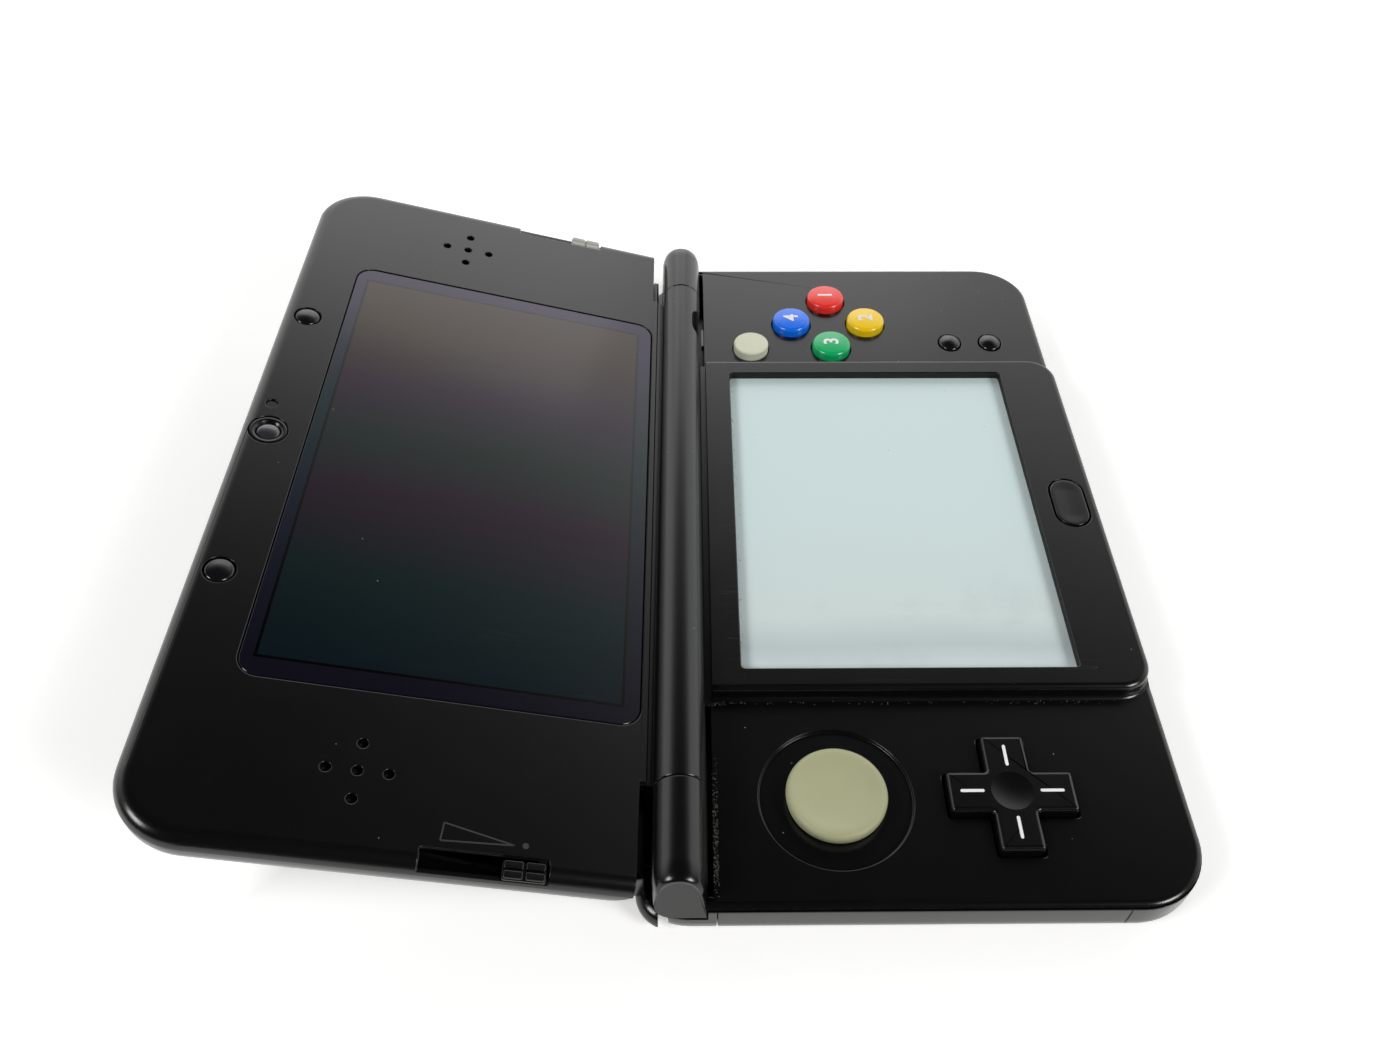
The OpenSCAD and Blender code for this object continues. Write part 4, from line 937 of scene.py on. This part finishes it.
def makePanel():
    z0, z1 = panelLow.z - 0.05, panelHigh.z
    reach = panel["foot"]
    foot = [(-reach * (1 - math.sin(a)) + 0.02, z0 + reach * (1 - math.cos(a)))
            for a in (math.radians(15 * i) for i in range(7))]
    radii = (0.1, 0.1, panel["frontRadius"], panel["frontRadius"])
    thing = piece("centrePanel", slab((panelLow.x, panelLow.y), (panelHigh.x, panelHigh.y + 4),
                                      radii, foot + rimOf(panel["topRound"], z1, 8)))
    film, middle = "touch_digitizer", middleOf("touch_digitizer")
    opening, corner = panel["aperture"], panel["apertureCorner"]
    home = wider(panel["homeSize"], panel["homeGap"])
    wide, through = (-80, 80), [(0, 5), (0, 14)]
    # the foot spreads over the control areas only, not past the front edge
    carve(thing, [
        block(wide, (-60, panelLow.y - 0.1), (0, 20)),
        block(wide, (panelHigh.y - panel["slot"], 60), (0, 20)), trough(),
        plate(middle, opening, corner, through, 5),
        block(grown(film, "x", 0.3), grown(film, "y", 0.3), (5, filmHigh.z + 0.06)),
        plate(cap["home_button"], home, home[1] - 0.01, through, 12)])
    place(soften(thing, 0.14), "base", "shell_gloss", "polished", "touch_bezel")
    # painted shade: a matt black sheet on the aperture's walls, standing in for the shade there
    shadeSheet = piece("apertureLining", plate(middle, wider(opening, 0.3), corner,
                                           [(0, filmHigh.z + 0.02), (0, z1 - 0.25)], 5))
    carve(shadeSheet, [plate(middle, wider(opening, -0.03), corner, through, 5)])
    place(soften(shadeSheet, 0), "base", "inner_plastic", "deep")


makePanel()
print("centre panel made")


# base: lower shell and detachable bottom cover

lower = {"edge": 0.12, "coverWall": 0.9, "gap": 0.12}


def bottomProfile(top, inset=0.0, bottom=0.0):
    side = [(0, base["split"]), (0.05, base["split"] + 0.35), (0.16, top)]
    return footOf(max(base["bottomRound"] - inset, 0.6), bottom, 7) + side


def coverSpan(gap):
    return (-pastSide, pastSide), grown("bottom_cover_plate", "y", gap), (-1, 20)


def makeLowerShell():
    top = base["seam"] - 0.35
    inset = lower["coverWall"] + lower["gap"]
    thing = piece("lowerShell", bodyLoft(0, bottomProfile(top)))
    carve(thing, [block(*coverSpan(lower["gap"]))])
    carve(thing, [bodyLoft(inset, bottomProfile(top, inset, inset))], "UNION")
    hollow = footOf(base["floorRound"], 2.0, 5) + [(0, 9)]
    slotLow, slotHigh = sizeOf("game_card_slot")
    penLow, penHigh = sizeOf("stylus")
    pen, power = middleOf("stylus"), cap["power_button"]
    lightLow, lightHigh = sizeOf("status_lights")
    front = (-pastBack, 4 - halfDepth)
    tools = [
        bodyLoft(base["wall"], hollow),
        block(grown("game_card_slot", "x", -0.4), front, (slotLow.z + 0.08, slotHigh.z - 0.15)),
        rod((penHigh.x - penLow.x) / 2 + 0.15, *front, "Y", (pen.x, 0, pen.z)),
        rod(2.6, *front, "Y", (middleOf("headphone_jack").x, 0, 4.3)),
        moved(plate((0, 0), (3.7, 1.6), 1.6, [(0, -3), (0, 5)], 10),
              (power.x, 2 - halfDepth, power.z), Matrix.Rotation(math.pi / 2, 4, "X"))]
    for x in (lightLow.x + 1, lightHigh.x - 1):
        tools.append(block(around(x, 1.1), front, grown("status_lights", "z", 0.1)))
    for node in ("charging_port", "infrared_window"):
        tools.append(block(grown(node, "x", 0.1), (halfDepth - 4, pastBack), grown(node, "z", 0.1)))
    for hand, side in hands:
        node = hand + "_shoulder_button"
        low = sizeOf(node)[0]
        tools += [block(shoulderBay(node, side), (low.y - 0.5, pastBack), (low.z - 0.2, 12)),
                  block(between(side, halfWidth - 3, pastSide),
                        (hingeY - barrelRadius - 0.05, low.y - 0.4), (base["postFoot"] - 0.12, 12)),
                  # open corner behind the knuckle, where the shoulder button reaches down
                  block(between(side, halfWidth - 9.5, pastSide), (33.3, pastBack), (-1, 12))]
    for hand, _ in hands:
        node = hand + "_rear_trigger"
        tools.append(block(grown(node, "x", 0.25), (grown(node, "y", 0.8)[0], pastBack),
                           grown(node, "z", 0.25)))
    tools += [rod(2.0, -1, 1.8, "Z", (x, y, 0), 40) for x, y in screwSpots("base_screws", 1.8)]
    for node in ("battery", "memory_card"):
        tools.append(block(grown(node, "x", 0.2), grown(node, "y", 0.2), (0, 2.5)))
    carve(thing, tools)
    place(soften(thing, lower["edge"], 2), "base", "shell", "satin", "base_lower_shell")


def screwSpots(node, radius):
    # four corners for the base's screws, one row for the cover's
    low, high = sizeOf(node)
    rows = (low.y + radius, high.y - radius) if node == "base_screws" else ((low.y + high.y) / 2,)
    return [(x, y) for x in (low.x + radius, high.x - radius) for y in rows]


def makeBottomCover():
    top = base["seam"] - 0.35
    wall = lower["coverWall"]
    thing = piece("bottomCover", bodyLoft(0, bottomProfile(top)))
    carve(thing, [block(*coverSpan(0))], "INTERSECT")
    carve(thing, [bodyLoft(wall, bottomProfile(top, wall, wall)[:-2] + [(0, top + 3)])])
    for x, y in screwSpots("cover_screws", 1.5):
        carve(thing, [rod(1.6, -1, 0.5, "Z", (x, y, 0), 40), rod(0.8, -1, 2, "Z", (x, y, 0), 40)])
    place(soften(thing, lower["edge"], 2), "base", "shell", "satin", "bottom_cover_plate")


def crossScrew(headRadius, headHeight, length):
    # pan head with a cross recess
    shank, end = headRadius * 0.55, headHeight + length
    stem = turned("screw", [(0, end), (shank, end), (shank, headHeight), (0, headHeight)], steps=28)
    top = turned("screwHead", [(0, 0), (headRadius - 0.15, 0), (headRadius, 0.12),
                               (headRadius, headHeight), (0, headHeight)], steps=36)
    arm, reach = headRadius * 0.16, headRadius * 0.62
    recess = (-1, headHeight * 0.7)
    carve(top, [block((-reach, reach), (-arm, arm), recess),
                block((-arm, arm), (-reach, reach), recess)])
    whole = joined("screwModel", [top, stem])
    made = bmesh.new()
    made.from_mesh(whole.data)
    bpy.data.objects.remove(whole)
    return made


def makeScrews():
    # name, node, head radius, head height, shank length
    for name, node, radius, head, length in (("baseScrews", "base_screws", 1.8, 0.6, 4.0),
                                             ("coverScrews", "cover_screws", 1.5, 0.45, 2.6)):
        points = [(x, y, sizeOf(node)[0].z) for x, y in screwSpots(node, radius)]
        thing = repeat(name, crossScrew(radius, head, length), points, finish["metal"])
        place(soften(thing, 0.03, 2), "base", "sheet_metal", "metal", node)


makeLowerShell()
makeBottomCover()
makeScrews()
print("lower shell, bottom cover and screws made")


# controls on the base

circlePad = {
    "profile": ((0, 8.14), (6.7, 8.14), (7.05, 8.45), (7.18, 9.1), (7.16, 9.7), (6.9, 10.12),
                (6.45, 10.3), (5.7, 10.22), (4.6, 9.98), (3.0, 9.8), (1.4, 9.74), (0, 9.73)),
    "stem": 1.3,
}
crossPad = {"span": 17.9, "arm": 6.2, "top": 10.2, "round": 0.6, "dish": (15.0, 0.30),
            "mark": (3.4, 0.46), "markAt": 5.65}
faceButton = {"radius": 3.75, "top": 10.4, "crown": 0.18, "round": 0.75, "skirt": 4.4,
              "digit": 4.0, "steps": 72, "edge": 0.05}
faceDigits = {"red": "1", "yellow": "2", "green": "3", "blue": "4"}
nub = {"radius": 3.4, "top": 10.25, "crown": 0.10, "round": 0.40, "skirt": 4.05,
       "steps": 64, "edge": 0.05}
menuButton = {"radius": 2.1, "top": 9.35, "crown": 0.35, "round": 0.55, "skirt": 2.7,
              "stretch": 1.12, "steps": 48, "edge": 0.04}


def domed(bottom, size):
    # cap with a rounded rim and a slightly crowned top
    radius, rounding, crown = size["radius"], size["round"], size["crown"]
    rim = size["top"] - crown
    skirt = size.get("skirt")
    run = [(0, bottom)]
    run += [(skirt, bottom), (skirt, bottom + 0.7), (radius, bottom + 0.7)] if skirt else [
        (radius, bottom)]
    run += [(radius - rounding + x, rim - rounding + z)
            for x, z in arc(0, 0, rounding, 0, 90, 9)]
    flat = radius - rounding
    return run + [(flat * (1 - k / 8), rim + crown * (1 - (1 - k / 8) ** 2)) for k in range(1, 9)]


def writeDigit(name, text, size, thick):
    curve = bpy.data.curves.new(name, "FONT")
    curve.body = text
    curve.size = size
    curve.extrude = thick
    curve.offset = 0.09
    curve.align_x = "CENTER"
    curve.align_y = "CENTER"
    curve.resolution_u = 6
    writing = bpy.data.objects.new(name + "Writing", curve)
    bpy.context.scene.collection.objects.link(writing)
    graph = bpy.context.evaluated_depsgraph_get()
    mesh = bpy.data.meshes.new_from_object(writing.evaluated_get(graph))
    bpy.data.objects.remove(writing)
    thing = bpy.data.objects.new(name, mesh)
    bpy.context.scene.collection.objects.link(thing)
    return thing


def makeCap(name, node, size, body, slotName, look):
    # domed cap over its CAD node
    oval = Matrix.Diagonal((size.get("stretch", 1), 1, 1, 1))
    thing = turned(name, domed(sizeOf(node)[0].z, size), spot(node), size["steps"], oval)
    place(soften(thing, size["edge"], 2, 50), body, slotName, look, node)


def makeFaceButtons():
    size = faceButton
    for colour, digit in faceDigits.items():
        node, body = colour + "_button", colour + "_key"
        at = cap[node]
        makeCap(colour + "Button", node, size, body, colour, colour)
        writing = writeDigit(colour + "Digit", digit, size["digit"], 0.05)
        flat = size["radius"] - size["round"]
        for vertex in writing.data.vertices:
            out = min(1.0, math.hypot(vertex.co.x, vertex.co.y) / flat)
            rise = size["top"] - size["crown"] + size["crown"] * (1 - out ** 2)
            vertex.co = (vertex.co.x + at.x, vertex.co.y + at.y, vertex.co.z + rise + 0.02)
        place(writing, body, "white_plastic", "print")


def makeDirectionPad():
    size, at, low = crossPad, spot("dpad"), sizeOf("dpad")[0]
    thing = piece("directionPad", prism(crossOutline(size["span"], size["arm"]),
                                        low.z + 0.6, size["top"]))
    soften(thing, size["round"], 5, 60)
    radius, depth = size["dish"]
    ball = bmesh.new()
    bmesh.ops.create_uvsphere(ball, u_segments=96, v_segments=64, radius=radius)
    carve(thing, [moved(ball, (0, 0, size["top"] + radius - depth))])
    soften(thing, 0)
    flange = turned("flange", [(0, low.z), (7.9, low.z), (7.9, low.z + 0.62), (0, low.z + 0.62)])
    thing = joined("directionPad", [thing, soften(flange, 0.05, 2)])
    thing.data.transform(Matrix.Translation(at))
    place(thing, "direction_pad", "shell", "polished", "dpad")
    length, width = size["mark"]
    bars = []
    for turn in range(4):
        bar = plate((0, 0), (length / 2, width / 2), width / 2, [(0, -0.1), (0, 0.03)], 6)
        spin = Matrix.Rotation(math.pi / 2 * turn, 4, "Z")
        where = spin @ Vector((size["markAt"], 0, size["top"]))
        bars.append(piece("bar", moved(bar, where + Vector(at), spin)))
    place(joined("directionMarks", bars), "direction_pad", "white_plastic", "print")


def makeRoundControls():
    at, low = spot("circle_pad"), sizeOf("circle_pad")[0]
    profile = list(circlePad["profile"])
    run = profile[:2] + smoothRun(profile[2:-1], 5) + [profile[-1]]
    stem = rod(circlePad["stem"], low.z + 0.5, profile[0][1] + 0.2, "Z", at, 32)
    foot = block(around(at[0], 2.4), around(at[1], 3.2), (low.z, low.z + 0.9))
    whole = joined("circlePad", [soften(turned("padCap", run, at, 96), 0),
                                 soften(piece("stem", stem), 0), soften(piece("foot", foot), 0.1)])
    place(whole, "pad_cap", "pad_grey", "padGrey", "circle_pad")
    makeCap("nub", "nub_stick", nub, "base", "white_plastic", "nubGrey")
    for name in ("select", "start"):
        node = name + "_button"
        makeCap(name + "Button", node, menuButton, name + "_key", "shell_gloss", "gloss")


def makeHomeButton():
    half, top = panel["homeSize"], sizeOf("home_button")[1].z
    # inset and drop from the top, for the rounded rim and the shallow dish
    rim = ((0, 0.25), (0.03, 0.12), (0.1, 0.03), (0.25, 0), (0.8, 0.01), (1.6, 0.05), (2.6, 0.07))
    made = plate(cap["home_button"], half, half[1] - 0.01, [(0, sizeOf("home_button")[0].z)] + [
        (inset, top - drop) for inset, drop in rim], 16)
    place(soften(piece("homeButton", made), 0), "home_key", "shell_gloss", "polished",
          "home_button")


def makeEdgeControls():
    at = cap["power_button"]
    low, high = sizeOf("power_button")
    deep = high.y - low.y
    button = plate((0, 0), (3.5, 1.4), 1.38, [(0, 0), (0, deep - 0.3), (0.1, deep - 0.1),
                                              (0.35, deep)], 12)
    turn = Matrix.Rotation(math.pi / 2, 4, "X")
    thing = soften(piece("powerButton", moved(button, (at.x, high.y, at.z), turn)), 0.05)
    place(thing, "power_key", "shell_gloss", "gloss", "power_button")
    for hand, side in hands:
        node = hand + "_shoulder_button"
        low, high = sizeOf(node)
        profile = [(0, 2), (0, high.z - 1.6)] + rimOf(1.6, high.z, 7)
        thing = piece(hand + "Shoulder", bodyLoft(0.05, profile))
        inner = min(abs(low.x), abs(high.x))
        carve(thing, [block(between(side, inner, 66.5), (low.y, high.y + 1),
                            (low.z, high.z + 1))], "INTERSECT")
        # its outer corner reaches down past the knuckle's foot, with rounded edges
        r, middleZ = 1.9, 2.45
        foot = arc(0, 0, r, -72, 72, 12)
        reach = between(side, halfWidth - 9, halfWidth - 0.1)
        radii = [5, 0, 0, 0] if side > 0 else [0, 5, 0, 0]
        corner = piece("corner", slab((reach[0], 30), (reach[1], 37.9), radii,
                                      [(r - x, middleZ + z) for x, z in foot]))
        carve(corner, [block((-80, 80), (34.7, 45), (0, 12))], "INTERSECT")
        thing = joined(hand + "Shoulder", [soften(thing, 0.3, 4), soften(corner, 0.2)])
        place(thing, hand + "_shoulder", "shell_gloss", "gloss", node)
        node = hand + "_rear_trigger"
        low, high = sizeOf(node)
        body = slab((low.x, low.z), (high.x, high.z), [0.9] * 4, [(0, -high.y), (0, -low.y)], 6)
        thing = soften(piece(hand + "Trigger", moved(body, turn=turn)), 0.35, 4)
        place(thing, hand + "_trigger", "shell_gloss", "gloss", node)


def makeStylus():
    low, high = sizeOf("stylus")
    r, length, middle = (high.x - low.x) / 2, high.y - low.y, middleOf("stylus")
    run = [(0, 0), (r * 0.8, 0), (r * 0.97, 0.25), (r, 0.6), (r, 4.0), (r * 0.86, 4.3),
           (r * 0.86, 5.2), (r, 5.5), (r, length - 8), (r * 0.62, length - 3.5),
           (r * 0.45, length - 1.4), (r * 0.3, length - 0.5), (0, length)]
    thing = turned("stylusPen", run, (middle.x, low.y, middle.z), 48,
                   Matrix.Rotation(-math.pi / 2, 4, "X"))
    place(soften(thing, 0.04, 2, 40), "stylus_pen", "shell", "satin", "stylus")


makeFaceButtons()
makeDirectionPad()
makeRoundControls()
makeHomeButton()
makeEdgeControls()
makeStylus()
print("controls made")


# lid

lidBox = {
    "near": 5.7,
    "lip": 4.6,
    "far": 72.0,
    "thick": 10.0,
    "rim": 2.2,
    "outerRound": 9.0,                  # how far the cushioned back runs in from the edge
    "seam": 2.2,
    "bevelRun": 8.3,
    "slotFloor": -2.9,                  # how deep the holes in the face go
    "wall": 1.4,
}
windowSize = {"near": 5.9, "far": 61.7, "halfWidth": 45.6, "corner": 3.0, "gap": 0.16,
              "sink": 0.06}
speaker = {"x": 57.9, "v": 43.2, "pitch": 4.05, "hole": 0.72}
bumper = {"x": 29.0, "v": 67.7, "radius": 2.1, "top": 0.28, "crown": 0.22, "round": 0.45}
eye = {"v": 67.7, "radius": 2.9, "lens": 1.75, "backX": 17.5}
slider = {"width": 2.7, "step": 1.0, "slope": 0.30, "end": 33.8, "knobAt": 20.3,
          "knobLength": 5.7}
lidHalf = sizeOf("lid_outer_cover")[1].x


def lidLoft(inset, profile):
    # reaches past the near end, which is cut off square
    low = (-lidHalf + inset, lidBox["near"] - 12)
    high = (lidHalf - inset, lidBox["far"] - inset)
    far = base["cornerRadius"] - inset
    return slab(low, high, [far, far, 0, 0], profile)


def nearCut(v):
    return block((-90, 90), (-30, v), (-20, 20))


def speakerSpots(depth):
    pattern = ((0, 0), (1, 0), (-1, 0), (0, 1), (0, -1))
    pitch = speaker["pitch"]
    return [(side * speaker["x"] + pitch * u, speaker["v"] + pitch * v, depth)
            for side in (-1, 1) for u, v in pattern]


def makeLidFace():
    deep, size, window = lidBox["slotFloor"], lidBox, windowSize
    thing = piece("lidFace", lidLoft(0, rimOf(size["rim"], 0, 10)))
    carve(thing, [nearCut(size["near"])])
    lip = slab((deck["leftSeam"] + 0.4, size["lip"]), (deck["rightSeam"] - 1.9, size["near"] + 2),
               [0.3] * 4, [(0, -0.72), (0, -0.25), (0.08, -0.08), (0.25, 0)], 4)
    carve(thing, [lip], "UNION")
    gap, r = window["gap"], speaker["hole"]
    tools = [slab((-window["halfWidth"] - gap, window["near"] - gap),
                  (window["halfWidth"] + gap, window["far"] + gap), [window["corner"] + gap] * 4,
                  [(0, -1.0), (0, 2)], 10),
             repeat("tool", lathe([(0, -4), (r, -4), (r, 0.6), (0, 0.6)], 28), speakerSpots(0))]
    start, end = slider["knobAt"] - slider["knobLength"] / 2 - 0.35, slider["end"]
    for _, side in hands:
        # step whose floor slopes down to the outside
        ends = between(side, lidHalf - slider["width"] - 0.4, lidHalf + 2)
        step = slab((ends[0], start), (ends[1], end), [0.5] * 4, [(0, -slider["step"]), (0, 2)], 6)
        slope = Matrix.Identity(4)
        slope[2][0] = -side * slider["slope"]
        step.transform(slope)
        tools += [moved(step, (0, 0, slider["slope"] * (lidHalf - 1.2))),
                  block(between(side, lidHalf - 2.95, lidHalf - 0.75),
                        (slider["knobAt"] - 1.7, end - 0.05), (deep, 0)),
                  rod(bumper["radius"] + 0.22, -1, 2, "Z", (side * bumper["x"], bumper["v"], 0))]
    light = onLid("tracking_light")
    tools += [rod(eye["radius"] + 0.15, deep, 2, "Z", (0, eye["v"], 0)),
              rod(0.95, deep, 2, "Z", (light.x, light.y, 0), 32)]
    carve(thing, tools)
    place(soften(thing, 0.12), "lid", "shell", "satin", "lid_inner_bezel")


def makeLidBack():
    size = lidBox
    top, inset, floorW = -size["seam"] - 0.06, 0.15, -size["thick"]
    reach, drop = size["outerRound"], size["thick"] + top - 0.1
    profile = [(inset + reach * (1 - x), floorW + drop * (1 - z))
               for x, z in reversed(arc(0, 0, 1, 0, 90, 14))]
    thing = piece("lidBack", lidLoft(0, profile + [(inset, top)]))
    # slanted hinge end, which clears the base when the lid is open
    near, slant, wall = size["near"], size["near"] + size["bevelRun"], size["wall"]
    slope = [(near - 3, top + 1), (near - 3, floorW - 2), (slant, floorW - 2), (slant, floorW),
             (near, top), (near, top + 1)]
    wedge = loft([[(x, v, w) for v, w in slope] for x in (-pastSide, pastSide)])
    inside = piece("tool", lidLoft(wall + 1, [(2, floorW + 4), (0, floorW + 6.3), (0, 1)]))
    carve(inside, [nearCut(near + wall + 1)])
    eyes = [(side * eye["backX"], onLid("outer_cameras").y, 0) for _, side in hands]
    carve(thing, [wedge, nearCut(near), inside] + [
        rod(3.1, floorW - 2, floorW + 1.2, "Z", at) for at in eyes])
    place(soften(thing, 0), "lid", "shell", "satin", "lid_outer_cover")


def makeWindow():
    size = windowSize
    top = -size["sink"]
    made = slab((-size["halfWidth"], size["near"]), (size["halfWidth"], size["far"]),
                [size["corner"]] * 4, [(0, top - 0.8), (0, top - 0.12), (0.04, top - 0.04),
                                       (0.12, top)], 12)
    place(soften(piece("screenWindow", made), 0), "lid", "window", "window", "display_window")


barrel = {"endRound": 0.25, "neckFront": 2.0, "neckTop": -0.7, "neckBottom": -2.6,
          "scoopWidth": 10.0, "scoopAt": 46.4, "scoopDepth": 1.4}


def makeBarrel():
    left, right = barrelLow.x, barrelHigh.x
    r, edge = barrelRadius, barrel["endRound"]
    section = arc(0, 0, r, 0, 360, 96)[:-1]
    ends = ((left, edge), (left + 0.07, 0.07), (left + edge, 0),
            (right - edge, 0), (right - 0.07, 0.07), (right, edge))
    thing = piece("hingeBarrel", loft([[(x, y * (r - inset) / r, z * (r - inset) / r)
                                        for y, z in section] for x, inset in ends]))
    carve(thing, [block((left + 0.2, right - 1.8), (barrel["neckFront"], lidBox["near"]),
                        (barrel["neckBottom"], barrel["neckTop"]))], "UNION")
    # thumb-shaped scoop that shows the notification light, cut from the side of the base
    half = barrel["scoopWidth"] / 2
    deep = r - barrel["scoopDepth"]
    profile = smoothRun([(-half - 1.5, -r - 0.6), (-half, -r + 0.05), (-half * 0.72, -deep - 0.9),
                         (-half * 0.4, -deep), (half * 0.4, -deep), (half * 0.72, -deep - 0.9),
                         (half, -r + 0.05), (half + 1.5, -r - 0.6)], 5)
    run = profile + [(half + 1.5, -r - 3), (-half - 1.5, -r - 3)]
    scoop = prism([(x + barrel["scoopAt"], y) for x, y in run], -2 * r, 2 * r)
    scoop.transform(Matrix.Rotation(-lidTilt, 4, "X"))
    carve(thing, [scoop, rod(1.65, left - 2, right + 2, "X", (0, 0, 0), 48)])
    place(soften(thing, 0.12, 3, 28), "lid", "shell", "satin", "hinge_barrel")


def makeLidDetails():
    for hand, side in hands:
        at = (side * bumper["x"], bumper["v"], 0)
        thing = turned(hand + "Bumper", domed(-0.95, bumper), at, 48)
        node = ["lid_bumpers"] if side < 0 else []
        place(soften(thing, 0), "lid", "rubber_grey", "gloss", *node)
    at, r = (0, eye["v"], 0), eye["radius"]
    ring = [(0, -4), (r, -4), (r, -0.3), (r - 0.08, -0.12), (r - 0.3, -0.06), (2.25, -0.1),
            (2.1, -0.18), (eye["lens"], -0.75), (0, -0.75)]
    place(soften(turned("cameraRing", ring, at), 0), "lid", "camera_lens", "polished",
          "inner_camera")
    glass = [(0, -0.75), (1.72, -0.75), (1.72, -0.45), (1.5, -0.32), (1.1, -0.24), (0.6, -0.19),
             (0, -0.17)]
    place(soften(turned("cameraLens", glass, at, 48), 0), "lid", "camera_lens", "cameraGlass")
    # the two outer cameras look out of the back
    glass = [(0, 0.18), (0.8, 0.22), (1.2, 0.35), (1.3, 0.5), (2.05, 0.5), (2.2, 0.1), (2.8, 0.1),
             (3.0, 0.35), (3.0, 4.4), (0, 4.4)]
    for hand, side in hands:
        at = (side * eye["backX"], onLid("outer_cameras").y, -lidBox["thick"])
        node = ["outer_cameras"] if side < 0 else []
        place(soften(turned(hand + "OuterCamera", glass, at, 56), 0), "lid", "camera_lens",
              "gloss", *node)


def makeSliderKnob(name, side, body, slotName, look, node):
    half, at, width = slider["knobLength"] / 2, slider["knobAt"], slider["width"]
    ends = between(side, lidHalf - width, lidHalf - 0.05)
    knob = piece(name, slab((ends[0], at - half), (ends[1], at + half), [0.35] * 4,
                            [(0, -slider["step"] + 0.1), (0, -0.55)], 5))
    carve(knob, [block(between(side, lidHalf - 2.3, lidHalf - 1.5), around(at, 1.5),
                       (-2.7, -0.8))], "UNION")
    soften(knob, 0.1)
    # four raised blocks with a groove between each two
    shape = plate((0, 0), (width / 4 - 0.14, half / 2 - 0.14), 0.25,
                  [(0, -0.1), (0, 0.28), (0.08, 0.4), (0.2, 0.45)], 4)
    middle = (ends[0] + ends[1]) / 2
    spots = [(middle + u * width / 4, at + v * half / 2, -0.57) for u in (-1, 1) for v in (-1, 1)]
    blocks = soften(repeat("blocks", shape, spots, finish[look]), 0)
    place(joined(name, [knob, blocks]), body, slotName, look, node)


def makeVolumeMark():
    # etched wedge and dot beside the volume slider
    corners = ((-63.8, 31.2), (-66.3, 31.4), (-65.9, 21.9))
    half, levels = 0.11, (-0.08, 0.012)
    bars = []
    for start, end in zip(corners, corners[1:] + corners[:1]):
        run = Vector(end) - Vector(start)
        bar = slab((0, -half), (run.length, half), [half] * 4, [(0, w) for w in levels], 4)
        spin = Matrix.Rotation(math.atan2(run.y, run.x), 4, "Z")
        bars.append(piece("bar", moved(bar, (*start, 0), spin)))
    dot = [(0, levels[0]), (0.42, levels[0]), (0.42, levels[1]), (0, levels[1])]
    bars.append(turned("bar", dot, (-65.8, 20.5, 0), 24))
    place(joined("volumeMark", bars), "lid", "shell_gloss", "etch")


makeLidFace()
makeLidBack()
makeWindow()
makeBarrel()
makeLidDetails()
makeSliderKnob("volumeKnob", -1, "volume_knob", "shell", "polished", "volume_slider")
makeSliderKnob("depthKnob", 1, "depth_knob", "white_plastic", "knobGrey", "depth_slider")
makeVolumeMark()
print("lid made")


# crumbs and dust that lie in the joints of the base

crumb = {"seed": 11, "panelFoot": 70, "cluster": 40, "slot": 300, "aperture": 60}


def makeCrumbs():
    draw = random.Random(crumb["seed"])
    deckTop = base["deck"]
    spots = []
    for i in range(crumb["panelFoot"]):
        y = draw.uniform(panelLow.y + 6, panelHigh.y)
        spots.append((panelLow.x - draw.uniform(0.5, 1.1), y, deckTop + 0.02))
    for i in range(crumb["cluster"]):
        spots.append((panelLow.x - abs(draw.gauss(0.7, 0.35)), draw.uniform(22.5, 26.9),
                      deckTop + 0.02))
    for i in range(crumb["slot"]):
        x = draw.triangular(-69.4, -48, -66)
        spots.append((x, base["slotFront"] - draw.uniform(0.08, 0.8), deckTop))
    for i in range(crumb["aperture"]):
        spots.append((draw.uniform(-34, 34), filmHigh.y - 1.35 - abs(draw.gauss(0, 0.25)),
                      filmHigh.z + 0.04))
    grain = bmesh.new()
    bmesh.ops.create_icosphere(grain, subdivisions=1, radius=0.085)
    thing = repeat("crumbs", grain, spots, finish["crumb"], 0.3, 1.1, 3.0, 4)
    place(soften(thing, 0), "base", "inner_plastic", "crumb")


makeCrumbs()


# CAD pieces that keep their shape

kept = {
    "cell": "battery", "film": "touch_digitizer", "clear": "status_lights",
    "board": "main_board left_control_board lid_board", "flex": "hinge_flex_cable",
    "metal": "processor_shield game_card_slot microphone hinge_pin hinge_click_unit lid_screws",
    "inner": "memory_card headphone_jack charging_port circle_pad_housing speakers",
    "module": "lower_display upper_display", "carrier": "circle_pad_carriage",
    "rubber": "left_button_membrane right_button_membrane dpad_rubber_dome",
    "darkLens": "notification_light infrared_window tracking_light",
}
for look, nodes in kept.items():
    for node in nodes.split():
        mesh = frame["nodes"][node].data
        mesh.materials.clear()
        mesh.materials.append(finish[look])
print("kept CAD pieces painted")
